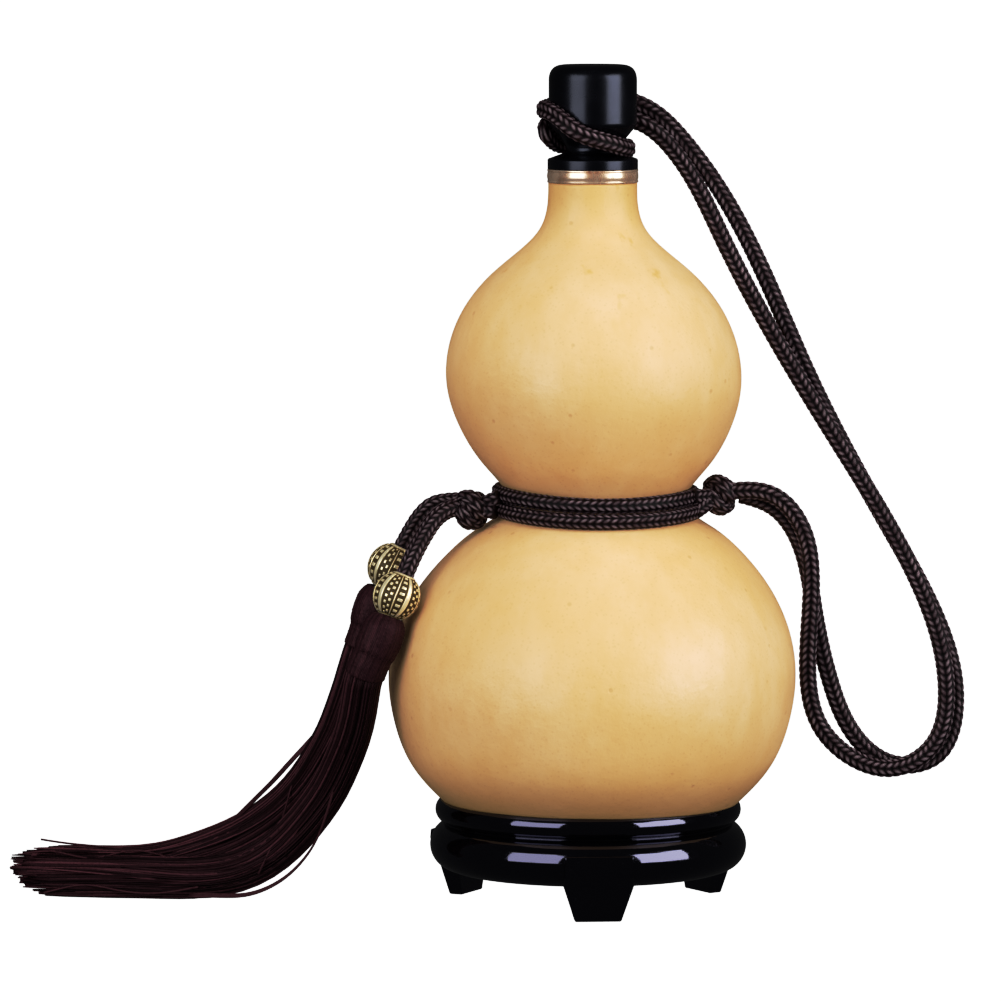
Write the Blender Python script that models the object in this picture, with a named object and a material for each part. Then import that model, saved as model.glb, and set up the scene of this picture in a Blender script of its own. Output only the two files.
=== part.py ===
"""A dried bottle gourd with a turned stopper, dressed with a braided cord and standing in a lacquered stand.

Lengths are millimetres and angles are degrees. They become metres where a mesh is made.
+Z is up, the front faces -Y, and the origin is on the table under the gourd.
"""

import math

import bmesh
import bpy
import numpy as np

MM = 0.001
GAP = 0.3

# The gourd: its outline as radius and height, from the base up to the mouth.
BELLY_RADIUS = 45.5
GOURD_OUTLINE = (
    (0.0, 11.2), (14.0, 12.2), (26.0, 17.2), (34.2, 23.9), (40.2, 30.9), (44.4, 41.7), (BELLY_RADIUS, 51.0),
    (44.0, 60.6), (39.6, 70.0), (33.1, 78.1), (26.7, 83.6), (21.4, 87.3), (19.7, 90.0), (21.0, 93.2),
    (25.4, 98.5), (30.1, 106.3), (32.8, 115.8), (32.3, 124.0), (28.7, 133.1), (22.1, 141.1), (15.6, 146.6),
    (11.5, 151.3), (10.1, 156.0), (9.9, 161.1),
)
GOURD_RINGS = 36
GOURD_SIDES = 36
MOUTH_HEIGHT = GOURD_OUTLINE[-1][1]
SOCKET_RADIUS = 6.6
SOCKET_FLOOR = 148.0
WAIST_HEIGHT = 90.0
WAIST_LEAN = 1.1
LEAN_SPREAD = 25.0
OVALNESS = 0.008
OVAL_TURN = 0.9

# The brass ring on the mouth and the stopper above it.
RING_RADIUS = 10.15
RING_HEIGHT = 2.6
STOPPER_X = 0.2
STOPPER_TOP = 187.3
STOPPER_SIDES = 28
STOPPER_HEAD = (
    (6.0, 167.7), (6.0, 169.5), (7.2, 170.65), (9.8, 173.85), (9.8, 184.1), (9.58, 185.25), (8.92, 186.3),
    (7.95, 186.97), (6.8, 187.2), (0.0, STOPPER_TOP),
)
FLANGE_RADIUS = 10.05
FLANGE_TOP = 166.35
PLUG_RADIUS = 6.2
PLUG_END = 149.2
CHAMFER = 0.2

# The stand, turned with two round mouldings and a dish for the gourd.
STAND_X = -0.67
STAND_UNDERSIDE = 7.5
UNDERSIDE_RADIUS = 20.0
DISH_RADII = (27.5, 23.0, 17.0, 9.0, 0.0)
STAND_SIDES = 36
LOWER_MOULDING = (29.9, 13.0, 5.5)
UPPER_MOULDING = (31.3, 20.9, 2.9)
NOTCH = (31.8, 18.0)
NOTCH_TURN = 62.0
FOOT_ANGLES = (-86.7, 31.7, 153.0)
FOOT_HALF_WIDTH = 7.6
FOOT_BASE_HALF_WIDTH = 5.1
FOOT_SHOULDER = 8.1
FOOT_FACE = ((29.2, 0.0), (32.4, 0.0), (33.9, FOOT_SHOULDER), (35.6, 10.4), (36.1, 13.0), (35.9, 15.0))
FOOT_HOLLOW = (21.0, -90.0, 7)

# The braided cord, as the round tube that fills its flattened section.
CORD_DIAMETER = 3.2
TURN_DIAMETER = 3.1
TURN_POINTS = 36
TURN_HEIGHTS = {"waist_turn_lower": 87.3, "waist_turn_upper": 90.75}

# How much higher each turn lies at both sides, and at the right alone.
TURN_RISES = {"waist_turn_lower": (0.9, -0.05), "waist_turn_upper": (1.15, -0.3)}

# The carrying loop leaves the right knot, passes round the stopper and comes back to the knot.
RISING_STRAND = (
    (32.8, -3.1, 92.6), (40.0, -3.6, 91.8), (46.6, -3.4, 84.9), (49.0, -2.9, 72.0), (48.3, -2.3, 54.5),
    (51.0, -2.0, 40.0), (57.8, -2.0, 32.9), (67.5, -1.9, 30.2), (76.2, -1.0, 35.0), (79.1, 0.0, 49.0),
    (71.5, 1.7, 75.0), (53.0, 3.6, 106.4), (29.1, 7.6, 148.8), (17.4, 8.9, 168.6),
)
STOPPER_HITCH = (
    (38.0, 14.0, 174.0), (85.0, 12.1, 174.7), (130.0, 11.9, 174.1), (160.0, 11.6, 172.9),
    (176.0, 10.9, 171.4), (166.0, 9.8, 170.1), (140.0, 8.9, 169.2), (90.0, 8.4, 168.85),
    (30.0, 8.4, 168.85), (-30.0, 8.4, 168.85), (-70.0, 9.6, 170.3), (-109.0, 11.5, 172.8),
    (-134.0, 11.9, 176.0), (-160.0, 11.8, 177.4), (-185.0, 11.8, 177.3), (-215.0, 11.8, 177.8),
    (-250.0, 12.0, 178.9), (-300.0, 12.5, 179.3),
)
FALLING_STRAND = (
    (14.0, 10.0, 176.9), (20.6, 9.7, 170.8), (31.0, 9.7, 155.5), (48.5, 8.1, 118.0), (66.5, 6.7, 84.0),
    (78.0, 5.7, 60.5), (81.0, 4.7, 44.0), (76.8, 3.6, 32.5), (68.2, 2.8, 30.5), (59.6, 2.5, 36.4),
    (53.6, 2.2, 49.2), (49.7, 1.7, 66.5), (46.8, 1.3, 79.8), (40.4, 0.9, 88.7), (33.3, 0.5, 91.4),
)
LOOP_SAMPLES = 80

# Two strands drop from the left knot, each through a bead into the cap of its tassel.
DROPS = {
    "front": (
        (-31.9, -7.6, 88.75), (-34.4, -9.3, 87.2), (-36.8, -11.0, 84.1), (-39.0, -13.0, 80.3),
        (-41.0, -14.6, 76.0), (-43.3, -15.4, 70.3), (-45.4, -16.2, 65.2), (-46.6, -16.6, 61.8),
    ),
    "back": (
        (-31.6, -3.6, 90.2), (-35.5, -3.9, 89.3), (-38.2, -4.1, 86.8), (-40.6, -4.4, 83.0),
        (-42.6, -4.6, 79.3), (-44.6, -4.8, 75.6), (-46.8, -5.0, 70.3), (-48.6, -5.0, 65.4),
    ),
}
DROP_SAMPLES = 14
BEAD_CENTRES = {"front": (-43.3, -15.4, 70.3), "back": (-44.6, -4.8, 75.6)}
BEAD_AXES = {"front": (-4.4, -1.5, -11.2), "back": (-4.9, -0.4, -10.0)}
BEAD_RADIUS = 5.2
BEAD_HALF_LENGTH = 5.4
BEAD_RIBS = 8
BEAD_LEVELS = 9
BEAD_EDGE = 0.35
RIB_SHARE = 1.035
BORE_RADIUS = 2.0

TASSELS = {
    "front": (
        (-45.5, -16.2, 64.9), (-46.7, -16.7, 61.6), (-48.5, -16.9, 57.3), (-50.3, -16.2, 53.0),
        (-51.4, -15.2, 49.3), (-52.6, -13.5, 43.8), (-54.0, -11.5, 38.6), (-56.3, -9.0, 32.5),
        (-59.4, -6.5, 26.1), (-63.8, -4.0, 20.1), (-69.7, -1.5, 14.4), (-76.9, 0.2, 9.6),
        (-86.6, 1.6, 6.4), (-96.8, 3.0, 5.2), (-110.0, 4.6, 5.1), (-127.0, 6.4, 5.3),
    ),
    "back": (
        (-46.9, -5.0, 69.9), (-48.3, -5.0, 65.9), (-49.8, -5.0, 60.7), (-51.6, -4.6, 55.3),
        (-53.2, -3.8, 49.8), (-55.3, -2.2, 43.8), (-57.6, -0.4, 38.6), (-60.5, 1.4, 33.9),
        (-63.7, 3.4, 28.9), (-67.8, 5.4, 23.6), (-72.6, 7.6, 18.6), (-79.5, 9.8, 13.5),
        (-88.1, 11.7, 9.4), (-97.2, 13.1, 6.9), (-110.0, 14.1, 6.0), (-127.5, 14.8, 5.9),
    ),
}
CAP_RADIUS = 5.1
SLEEVE_RADIUS = 4.6
CAP_LENGTH = 13.0
CAP_DOME = ((0.2, 2.5), (0.7, 3.7), (1.6, 4.6), (3.0, CAP_RADIUS), (7.2, CAP_RADIUS), (7.5, SLEEVE_RADIUS))
CAP_SOCKET = 5.4
CAP_SIDES = 20
FRINGE_START = CAP_LENGTH + GAP
FRINGE_RADIUS = 4.5
FRINGE_RINGS = 22
FRINGE_SIDES = 24
FRINGE_RIDGES = 12
RIDGE_AT_CAP = 0.02
RIDGE_GROWTH = 0.07
RAGGED_LENGTHS = (5.0, 3.0)
TABLE_CLEARANCE = 0.35

KNOTS = {"knot_left": (-28.2, -5.6, 88.7), "knot_right": (29.2, -1.6, 91.5)}
KNOT_HALF_SIZE = (3.2, 3.9, 4.35)
KNOT_SIDES = 20
KNOT_RINGS = 11
KNOT_RELIEF = 0.14

FINISHES = {
    "gourd_skin": ((0.72, 0.47, 0.19), 0.55, 0.0),
    "ring_brass": ((0.60, 0.42, 0.22), 0.3, 1.0),
    "black_stopper": ((0.012, 0.013, 0.016), 0.35, 0.0),
    "black_lacquer": ((0.008, 0.008, 0.01), 0.12, 0.0),
    "braided_cord": ((0.035, 0.022, 0.022), 0.75, 0.0),
    "bead_brass": ((0.55, 0.45, 0.22), 0.35, 1.0),
    "tassel_silk": ((0.045, 0.015, 0.02), 0.6, 0.0),
}


def clear_scene():
    """Removes whatever the scene starts with."""
    for old in list(bpy.context.scene.objects):
        bpy.data.objects.remove(old, do_unlink=True)


def make_finishes():
    """One Principled material for each finish, by name."""
    made = {}
    for name, (colour, roughness, metallic) in FINISHES.items():
        material = bpy.data.materials.new(name)
        material.use_nodes = True
        shader = material.node_tree.nodes["Principled BSDF"]
        shader.inputs["Base Color"].default_value = (*colour, 1.0)
        shader.inputs["Roughness"].default_value = roughness
        shader.inputs["Metallic"].default_value = metallic
        made[name] = material
    return made


def smooth_curve(points, count):
    """A natural cubic spline through the points, read at count places spread evenly over its spans."""
    points = np.asarray(points, float)
    step = np.linalg.norm(np.diff(points, axis=0), axis=1)
    knots = np.concatenate([[0.0], np.cumsum(step)])
    slope = np.diff(points, axis=0) / step[:, None]
    size = len(points)
    system = np.eye(size)
    right = np.zeros_like(points)
    for i in range(1, size - 1):
        system[i, i - 1 : i + 2] = step[i - 1], 2 * (step[i - 1] + step[i]), step[i]
        right[i] = 6 * (slope[i] - slope[i - 1])
    bend = np.linalg.solve(system, right)
    where = np.interp(np.linspace(0, size - 1, count), np.arange(size), knots)
    span = np.clip(np.searchsorted(knots, where, side="right") - 1, 0, size - 2)
    width = step[span][:, None]
    before = (where - knots[span])[:, None]
    after = width - before
    start, end = bend[span], bend[span + 1]
    cubic = (start * after**3 + end * before**3) / (6 * width)
    line = (points[span] / width - start * width / 6) * after
    return cubic + line + (points[span + 1] / width - end * width / 6) * before


def even_curve(points, count):
    """The same spline, read at count places an equal length apart."""
    dense = smooth_curve(points, 40 * len(points))
    run = np.concatenate([[0.0], np.cumsum(np.linalg.norm(np.diff(dense, axis=0), axis=1))])
    places = np.linspace(0, run[-1], count)
    return np.stack([np.interp(places, run, dense[:, axis]) for axis in range(dense.shape[1])], axis=1)


def add_mesh(name, vertices, faces, finish):
    """Makes a smooth-shaded mesh object from millimetre points, with its faces pointing outwards."""
    mesh = bpy.data.meshes.new(name)
    mesh.from_pydata([tuple(point) for point in np.asarray(vertices) * MM], [], faces)
    solid = bmesh.new()
    solid.from_mesh(mesh)
    bmesh.ops.recalc_face_normals(solid, faces=solid.faces)
    solid.to_mesh(mesh)
    solid.free()
    mesh.shade_smooth()
    mesh.set_sharp_from_angle(angle=math.radians(40))
    mesh.materials.append(finish)
    made = bpy.data.objects.new(name, mesh)
    bpy.context.scene.collection.objects.link(made)
    return made


def turned(outline, sides, x=0.0):
    """Vertices and faces of the outline (radius, height) spun round an upright axis at x."""
    profile = bmesh.new()
    points = [profile.verts.new((radius, 0.0, height)) for radius, height in outline]
    closed = outline[0][0] > 0
    ends = points[1:] + points[:1] if closed else points[1:]
    for start, end in zip(points, ends):
        profile.edges.new((start, end))
    geometry = profile.verts[:] + profile.edges[:]
    bmesh.ops.spin(
        profile, geom=geometry, cent=(0, 0, 0), axis=(0, 0, 1), angle=2 * math.pi, steps=sides, use_merge=True
    )
    bmesh.ops.remove_doubles(profile, verts=profile.verts, dist=1e-4)
    profile.verts.index_update()
    vertices = np.array([vertex.co[:] for vertex in profile.verts]) + (x, 0.0, 0.0)
    faces = [tuple(vertex.index for vertex in face.verts) for face in profile.faces]
    profile.free()
    return vertices, faces


def swept(path, outline, sides, relief=None):
    """Vertices and faces of the outline (run, radius) spun round a curved path that starts at run 0.

    The outline starts and ends on the path. relief gives each point's share of its radius and the
    length that it is drawn back along the path, from its run and angle.
    """
    dense = even_curve(path, 240)
    run = np.concatenate([[0.0], np.cumsum(np.linalg.norm(np.diff(dense, axis=0), axis=1))])
    angles = np.arange(sides) * 2 * math.pi / sides
    along, radius = np.asarray(outline, float)[1:-1].T
    grid_run = np.repeat(along[:, None], sides, axis=1)
    grid_radius = np.repeat(radius[:, None], sides, axis=1)
    if relief:
        share, drawn_back = relief(grid_run, angles[None, :])
        grid_radius = grid_radius * share
        grid_run = grid_run - drawn_back
    spine = np.gradient(dense, run, axis=0)
    centre = np.stack([np.interp(grid_run, run, dense[:, axis]) for axis in range(3)], axis=-1)
    tangent = np.stack([np.interp(grid_run, run, spine[:, axis]) for axis in range(3)], axis=-1)
    tangent /= np.linalg.norm(tangent, axis=-1, keepdims=True)
    side = np.cross(tangent, (0.0, 1.0, 0.0))
    side /= np.linalg.norm(side, axis=-1, keepdims=True)
    other = np.cross(tangent, side)
    turn = angles[None, :, None]
    rings = centre + grid_radius[..., None] * (np.cos(turn) * side + np.sin(turn) * other)
    poles = [[np.interp(outline[end][0], run, dense[:, axis]) for axis in range(3)] for end in (0, -1)]
    vertices = np.concatenate([rings.reshape(-1, 3), poles])
    first, last = len(vertices) - 2, len(vertices) - 1
    faces = []
    for j in range(sides):
        k = (j + 1) % sides
        for i in range(len(along) - 1):
            faces.append((i * sides + j, i * sides + k, (i + 1) * sides + k, (i + 1) * sides + j))
        top = (len(along) - 1) * sides
        faces.append((first, k, j))
        faces.append((last, top + j, top + k))
    return vertices, faces


def cord(name, points, diameter, finish, closed=False):
    """A round tube along the points, with its ends capped."""
    curve = bpy.data.curves.new(name, "CURVE")
    curve.dimensions = "3D"
    curve.bevel_depth = diameter / 2 * MM
    curve.bevel_resolution = 2
    curve.use_fill_caps = not closed
    spline = curve.splines.new("POLY")
    spline.points.add(len(points) - 1)
    spline.use_cyclic_u = closed
    for place, point in zip(spline.points, np.asarray(points) * MM):
        place.co = (*point, 1.0)
    curve.materials.append(finish)
    made = bpy.data.objects.new(name, curve)
    bpy.context.scene.collection.objects.link(made)
    return made


def gourd_outline():
    """The gourd's outer outline, from the middle of its base to its mouth."""
    return even_curve(GOURD_OUTLINE, GOURD_RINGS)


def lean(height):
    """How far the gourd's middle stands to the right at this height: most at the waist."""
    at_waist = np.exp(-(((height - WAIST_HEIGHT) / LEAN_SPREAD) ** 2))
    return WAIST_LEAN * at_waist + STOPPER_X * height / MOUTH_HEIGHT


def growth(height, angle):
    """The gourd's uneven growth, as a share of its radius. It fades out at the base and at the neck."""
    rise = np.clip((height - 26.0) / 16.0, 0, 1)
    fall = np.clip((152.0 - height) / 16.0, 0, 1)
    fade = rise * rise * (3 - 2 * rise) * fall * fall * (3 - 2 * fall)
    oval = np.cos(2 * angle + OVAL_TURN) - math.cos(OVAL_TURN)
    lobed = np.sin(3 * angle + height / 34.0) * np.sin(angle) ** 2
    return 1 + OVALNESS * fade * (oval + 0.6 * lobed)


def add_gourd(finish):
    """The gourd: its outline spun, with the stopper's socket in the mouth, then grown a little uneven."""
    skin = gourd_outline()
    socket = [(SOCKET_RADIUS, MOUTH_HEIGHT), (SOCKET_RADIUS, SOCKET_FLOOR), (0.0, SOCKET_FLOOR)]
    vertices, faces = turned([tuple(point) for point in skin] + socket, GOURD_SIDES)
    angle = np.arctan2(vertices[:, 1], vertices[:, 0])
    share = growth(vertices[:, 2], angle)
    vertices[:, :2] *= share[:, None]
    vertices[:, 0] += lean(vertices[:, 2])
    in_socket = np.hypot(vertices[:, 0] - STOPPER_X, vertices[:, 1]) < SOCKET_RADIUS + 1.0
    deep = in_socket & (vertices[:, 2] > SOCKET_FLOOR - 1.0)
    vertices[deep, 0] += STOPPER_X - lean(vertices[deep, 2])
    return add_mesh("gourd", vertices, faces, finish)


def add_mouth_ring(finish):
    """The brass ring that caps the mouth, with the plug's hole through it."""
    low = MOUTH_HEIGHT + GAP
    high = low + RING_HEIGHT
    middle = (low + high) / 2
    outline = [
        (SOCKET_RADIUS, low), (RING_RADIUS - CHAMFER, low), (RING_RADIUS, low + 2 * CHAMFER),
        (RING_RADIUS + CHAMFER / 2, middle), (RING_RADIUS, high - 2 * CHAMFER), (RING_RADIUS - CHAMFER, high),
        (SOCKET_RADIUS, high),
    ]
    return add_mesh("mouth_ring", *turned(outline, STOPPER_SIDES, STOPPER_X), finish)


def add_stopper(finish):
    """The stopper, turned in one: plug, flange, groove for the cord, and head."""
    flange_base = MOUTH_HEIGHT + RING_HEIGHT + 2 * GAP
    outline = [
        (0.0, PLUG_END), (PLUG_RADIUS - 2 * CHAMFER, PLUG_END), (PLUG_RADIUS, PLUG_END + 4 * CHAMFER),
        (PLUG_RADIUS, flange_base), (FLANGE_RADIUS - CHAMFER, flange_base),
        (FLANGE_RADIUS, flange_base + CHAMFER), (FLANGE_RADIUS, FLANGE_TOP - CHAMFER),
        (FLANGE_RADIUS - CHAMFER, FLANGE_TOP), *STOPPER_HEAD,
    ]
    return add_mesh("stopper", *turned(outline, STOPPER_SIDES, STOPPER_X), finish)


def arc(middle, start, end, count):
    """Points of a round moulding, given as its centre's radius and height and its own radius."""
    turns = np.radians(np.linspace(start, end, count))
    return [(middle[0] + middle[2] * math.cos(a), middle[1] + middle[2] * math.sin(a)) for a in turns]


def add_stand_body(finish):
    """The turned body: two round mouldings and a dish that follows the gourd's base at a small gap."""
    dish = [(radius, UPPER_MOULDING[1] + UPPER_MOULDING[2]) for radius in DISH_RADII]
    outline = [(0.0, STAND_UNDERSIDE), (UNDERSIDE_RADIUS, STAND_UNDERSIDE)]
    outline += arc(LOWER_MOULDING, -90, NOTCH_TURN, 8) + [NOTCH] + arc(UPPER_MOULDING, -NOTCH_TURN, 90, 8) + dish
    vertices, faces = turned(outline, STAND_SIDES, STAND_X)
    skin = gourd_outline()
    base = skin[: np.argmax(skin[:, 0])]
    reach = np.hypot(vertices[:, 0] - lean(base[0, 1]), vertices[:, 1])
    ceiling = np.interp(reach, base[:, 0], base[:, 1]) - 1.6 * GAP
    upper = vertices[:, 2] > UPPER_MOULDING[1]
    vertices[upper, 2] = np.minimum(vertices[upper, 2], ceiling[upper])
    return add_mesh("stand_body", vertices, faces, finish)


def add_stand_feet(finish):
    """Three tapered blocks. Each holds the lower moulding in a hollow and reaches up over its widest place."""
    turn, end, count = FOOT_HOLLOW
    hollow = arc((*LOWER_MOULDING[:2], LOWER_MOULDING[2] + GAP), turn, end, count)
    section = [*FOOT_FACE, *hollow, (FOOT_FACE[0][0], hollow[-1][1])]
    size = len(section)
    sides = [(i, i + size, (i + 1) % size + size, (i + 1) % size) for i in range(size)]
    faces = [tuple(range(size)), tuple(range(2 * size - 1, size - 1, -1)), *sides]
    for number, turn in enumerate(FOOT_ANGLES, start=1):
        angle = math.radians(turn)
        out = np.array((math.cos(angle), math.sin(angle), 0.0))
        along = np.array((-math.sin(angle), math.cos(angle), 0.0))
        points = []
        for side in (-1, 1):
            for radius, z in section:
                share = min(z / FOOT_SHOULDER, 1.0)
                half_width = FOOT_BASE_HALF_WIDTH + (FOOT_HALF_WIDTH - FOOT_BASE_HALF_WIDTH) * share
                points.append(out * radius + along * side * half_width + (STAND_X, 0.0, z))
        foot = add_mesh(f"stand_foot_{number}", points, faces, finish)
        foot.data.shade_flat()


def lying_radius(height, angle, tube_radius):
    """How far from the axis a round cord's middle lies where it rests against the gourd's skin."""
    skin = gourd_outline()
    best = 0.0
    for offset in np.linspace(-tube_radius, tube_radius, 9):
        level = height + offset
        radius = np.interp(level, skin[:, 1], skin[:, 0]) * growth(level, angle)
        best = max(best, radius + math.sqrt(max(tube_radius**2 - offset**2, 0.0)))
    return best + GAP


def add_waist_turns(finish):
    """Two closed turns of cord in the waist, a little higher at the sides than at the front."""
    for name, front_height in TURN_HEIGHTS.items():
        both_sides, right_side = TURN_RISES[name]
        points = []
        for angle in np.arange(TURN_POINTS) * 2 * math.pi / TURN_POINTS:
            height = front_height + both_sides * math.cos(angle) ** 2 + right_side * math.cos(angle)
            radius = lying_radius(height, angle, TURN_DIAMETER / 2)
            x = radius * math.cos(angle) + lean(height)
            points.append((x, radius * math.sin(angle), height))
        cord(name, points, TURN_DIAMETER, finish, closed=True)


def add_loop(finish):
    """The carrying loop: one length of cord from the right knot, round the stopper and back."""
    hitch = [
        (STOPPER_X + radius * math.cos(math.radians(turn)), radius * math.sin(math.radians(turn)), height)
        for turn, radius, height in STOPPER_HITCH
    ]
    route = [*RISING_STRAND, *hitch, *FALLING_STRAND]
    return cord("cord_loop", smooth_curve(route, LOOP_SAMPLES), CORD_DIAMETER, finish)


def add_knot(name, centre, finish):
    """A knot pulled tight: a rounded barrel whose surface shows two slanting turns of the cord."""
    sides, rings = KNOT_SIDES, KNOT_RINGS
    turns = np.arange(sides) * 2 * math.pi / sides
    rise = np.linspace(-1, 1, rings)[1:-1] * math.pi / 2
    band = np.abs(np.sin(rise[:, None] * 2.0 + turns[None, :]))
    swell = 1 - KNOT_RELIEF * (1 - np.sqrt(band))
    x = np.sin(rise)[:, None] * np.ones(sides)[None, :]
    y = np.cos(rise)[:, None] * np.cos(turns)[None, :] * swell
    z = np.cos(rise)[:, None] * np.sin(turns)[None, :] * swell
    points = np.stack([x, y, z], axis=-1).reshape(-1, 3)
    points = np.concatenate([points, [(-1.0, 0.0, 0.0), (1.0, 0.0, 0.0)]])
    vertices = points * KNOT_HALF_SIZE + centre
    faces = []
    for j in range(sides):
        k = (j + 1) % sides
        for i in range(rings - 3):
            faces.append((i * sides + j, i * sides + k, (i + 1) * sides + k, (i + 1) * sides + j))
        top = (rings - 3) * sides
        faces.append((len(points) - 2, k, j))
        faces.append((len(points) - 1, top + j, top + k))
    return add_mesh(name, vertices, faces, finish)


def add_bead(name, centre, axis, finish):
    """A ribbed brass bead with a bore, threaded on its drop of cord."""
    axis = np.asarray(axis, float) / np.linalg.norm(axis)
    end = BEAD_HALF_LENGTH * math.sqrt(1 - (BORE_RADIUS / BEAD_RADIUS) ** 2)
    levels = np.linspace(-end, end, BEAD_LEVELS)
    outer = [(BEAD_RADIUS * math.sqrt(1 - (z / BEAD_HALF_LENGTH) ** 2), z) for z in levels]
    bore = [(BORE_RADIUS, end - BEAD_EDGE), (BORE_RADIUS, BEAD_EDGE - end)]
    outline = [(BORE_RADIUS + BEAD_EDGE, -end), *outer[1:-1], (BORE_RADIUS + BEAD_EDGE, end), *bore]
    vertices, faces = turned(outline, 3 * BEAD_RIBS)
    number = np.round(np.arctan2(vertices[:, 1], vertices[:, 0]) / (2 * math.pi) * 3 * BEAD_RIBS)
    outside = np.hypot(vertices[:, 0], vertices[:, 1]) > BORE_RADIUS + 2 * BEAD_EDGE
    proud = (number % 3 == 0) & (np.abs(vertices[:, 2]) < 0.8 * end) & outside
    vertices[proud, :2] *= RIB_SHARE
    across = np.cross((0.0, 1.0, 0.0), axis)
    across /= np.linalg.norm(across)
    frame = np.stack([across, np.cross(axis, across), axis], axis=1)
    return add_mesh(name, vertices @ frame.T + centre, faces, finish)


def add_tassel_cap(name, path, finish):
    """The wound cap of a tassel: a domed sleeve, a narrower sleeve below it and the cord's socket on top."""
    socket = [(CAP_SOCKET, 0.0), (CAP_SOCKET, BORE_RADIUS), (CAP_DOME[0][0], BORE_RADIUS)]
    outline = [*socket, *CAP_DOME, (CAP_LENGTH, SLEEVE_RADIUS), (CAP_LENGTH, 0.0)]
    return add_mesh(name, *swept(path, outline, CAP_SIDES), finish)


def fringe_relief(length):
    """The fringe's relief: bundled threads as ridges, and a ragged end where each bundle stops short."""

    def relief(run, angle):
        reach = np.clip((run - FRINGE_START) / (length - FRINGE_START), 0, 1)
        ridge = np.cos(FRINGE_RIDGES * angle)
        uneven = 0.5 + 0.5 * np.sin(5 * angle + 1.0) * np.cos(3 * angle)
        share = 1 + (RIDGE_AT_CAP + RIDGE_GROWTH * reach) * ridge
        return share, reach**4 * (RAGGED_LENGTHS[0] * uneven + RAGGED_LENGTHS[1] * (0.5 - 0.5 * ridge))

    return relief


def add_tassel_fringe(name, path, finish):
    """The fringe of a tassel: a ridged bundle that swells, sweeps down and lies on the table."""
    dense = even_curve(path, 240)
    length = np.linalg.norm(np.diff(dense, axis=0), axis=1).sum()
    outline = [(FRINGE_START, 0.0)]
    for i, run in enumerate(np.linspace(FRINGE_START, length, FRINGE_RINGS)):
        reach = i / (FRINGE_RINGS - 1)
        swell = 1 + 0.1 * math.sin(math.pi * min(reach * 1.6, 1.0)) - 0.1 * reach
        outline.append((run, FRINGE_RADIUS * swell))
    outline += [(length - 2.0, FRINGE_RADIUS * 0.45), (length - 6.0, 0.0)]
    vertices, faces = swept(path, outline, FRINGE_SIDES, fringe_relief(length))
    vertices[:, 2] = np.maximum(vertices[:, 2], TABLE_CLEARANCE)
    return add_mesh(name, vertices, faces, finish)


def main():
    clear_scene()
    finishes = make_finishes()
    add_gourd(finishes["gourd_skin"])
    add_mouth_ring(finishes["ring_brass"])
    add_stopper(finishes["black_stopper"])
    add_stand_body(finishes["black_lacquer"])
    add_stand_feet(finishes["black_lacquer"])
    add_loop(finishes["braided_cord"])
    add_waist_turns(finishes["braided_cord"])
    for name, centre in KNOTS.items():
        add_knot(name, centre, finishes["braided_cord"])
    for side in ("front", "back"):
        route = smooth_curve(DROPS[side], DROP_SAMPLES)
        cord(f"cord_drop_{side}", route, CORD_DIAMETER, finishes["braided_cord"])
        add_bead(f"bead_{side}", BEAD_CENTRES[side], BEAD_AXES[side], finishes["bead_brass"])
        add_tassel_cap(f"tassel_{side}_cap", TASSELS[side], finishes["tassel_silk"])
        add_tassel_fringe(f"tassel_{side}_fringe", TASSELS[side], finishes["tassel_silk"])


main()
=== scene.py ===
"""A dried bottle gourd with its stopper, braided cord, beads, tassels and stand, in a white studio.

Sizes in the classes are millimetres and angles are degrees, unless a name or a docstring says
otherwise. A surface is worked out in millimetres and becomes metres where its mesh is made, in the
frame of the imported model.
"""

import logging
import math
from collections.abc import Sequence
from dataclasses import dataclass, field
from enum import Enum

import bpy
import numpy as np
from numpy.typing import NDArray
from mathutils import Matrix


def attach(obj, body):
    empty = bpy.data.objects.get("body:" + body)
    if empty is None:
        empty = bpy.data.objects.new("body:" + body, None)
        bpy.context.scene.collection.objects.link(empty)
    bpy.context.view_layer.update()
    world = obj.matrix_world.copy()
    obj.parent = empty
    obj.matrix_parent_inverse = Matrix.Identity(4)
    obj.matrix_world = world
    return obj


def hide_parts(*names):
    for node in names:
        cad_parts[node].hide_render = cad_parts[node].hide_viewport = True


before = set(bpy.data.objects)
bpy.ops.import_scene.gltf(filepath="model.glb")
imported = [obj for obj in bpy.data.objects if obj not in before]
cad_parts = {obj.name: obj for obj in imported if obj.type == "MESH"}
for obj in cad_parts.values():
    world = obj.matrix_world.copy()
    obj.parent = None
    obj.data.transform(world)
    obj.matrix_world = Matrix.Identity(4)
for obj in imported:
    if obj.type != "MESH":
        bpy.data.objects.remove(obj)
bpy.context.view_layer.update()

Numbers = NDArray[np.float64]
Faces = NDArray[np.int64]
Points = Sequence[Sequence[float]] | Numbers
Pair = tuple[float, float]
Triple = tuple[float, float, float]
Piece = bpy.types.Object
Socket = bpy.types.NodeSocket

MM = 0.001
WHITE = (1.0, 1.0, 1.0, 1.0)
# How many places are read on a spline for each of its points
CURVE_DENSITY = 60
# The shortest step that an outline keeps
SHORTEST_STEP = 1e-4
# The rounding of a corner that is to look sharp
SHARP = 0.01
BODY = "root"
LOG = logging.getLogger("gourd")


class Side(Enum):
    """The two strands, beads and tassels on the left."""

    FRONT = "front"
    BACK = "back"


class Knot(Enum):
    """The two knots that hold the turns round the waist."""

    LEFT = "knot_left"
    RIGHT = "knot_right"


class Slot(Enum):
    """The record's material slots."""

    SKIN = "gourd_skin"
    RING = "ring_brass"
    STOPPER = "black_stopper"
    LACQUER = "black_lacquer"
    CORD = "braided_cord"
    BEAD = "bead_brass"
    SILK = "tassel_silk"


# Curves and surfaces


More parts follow.
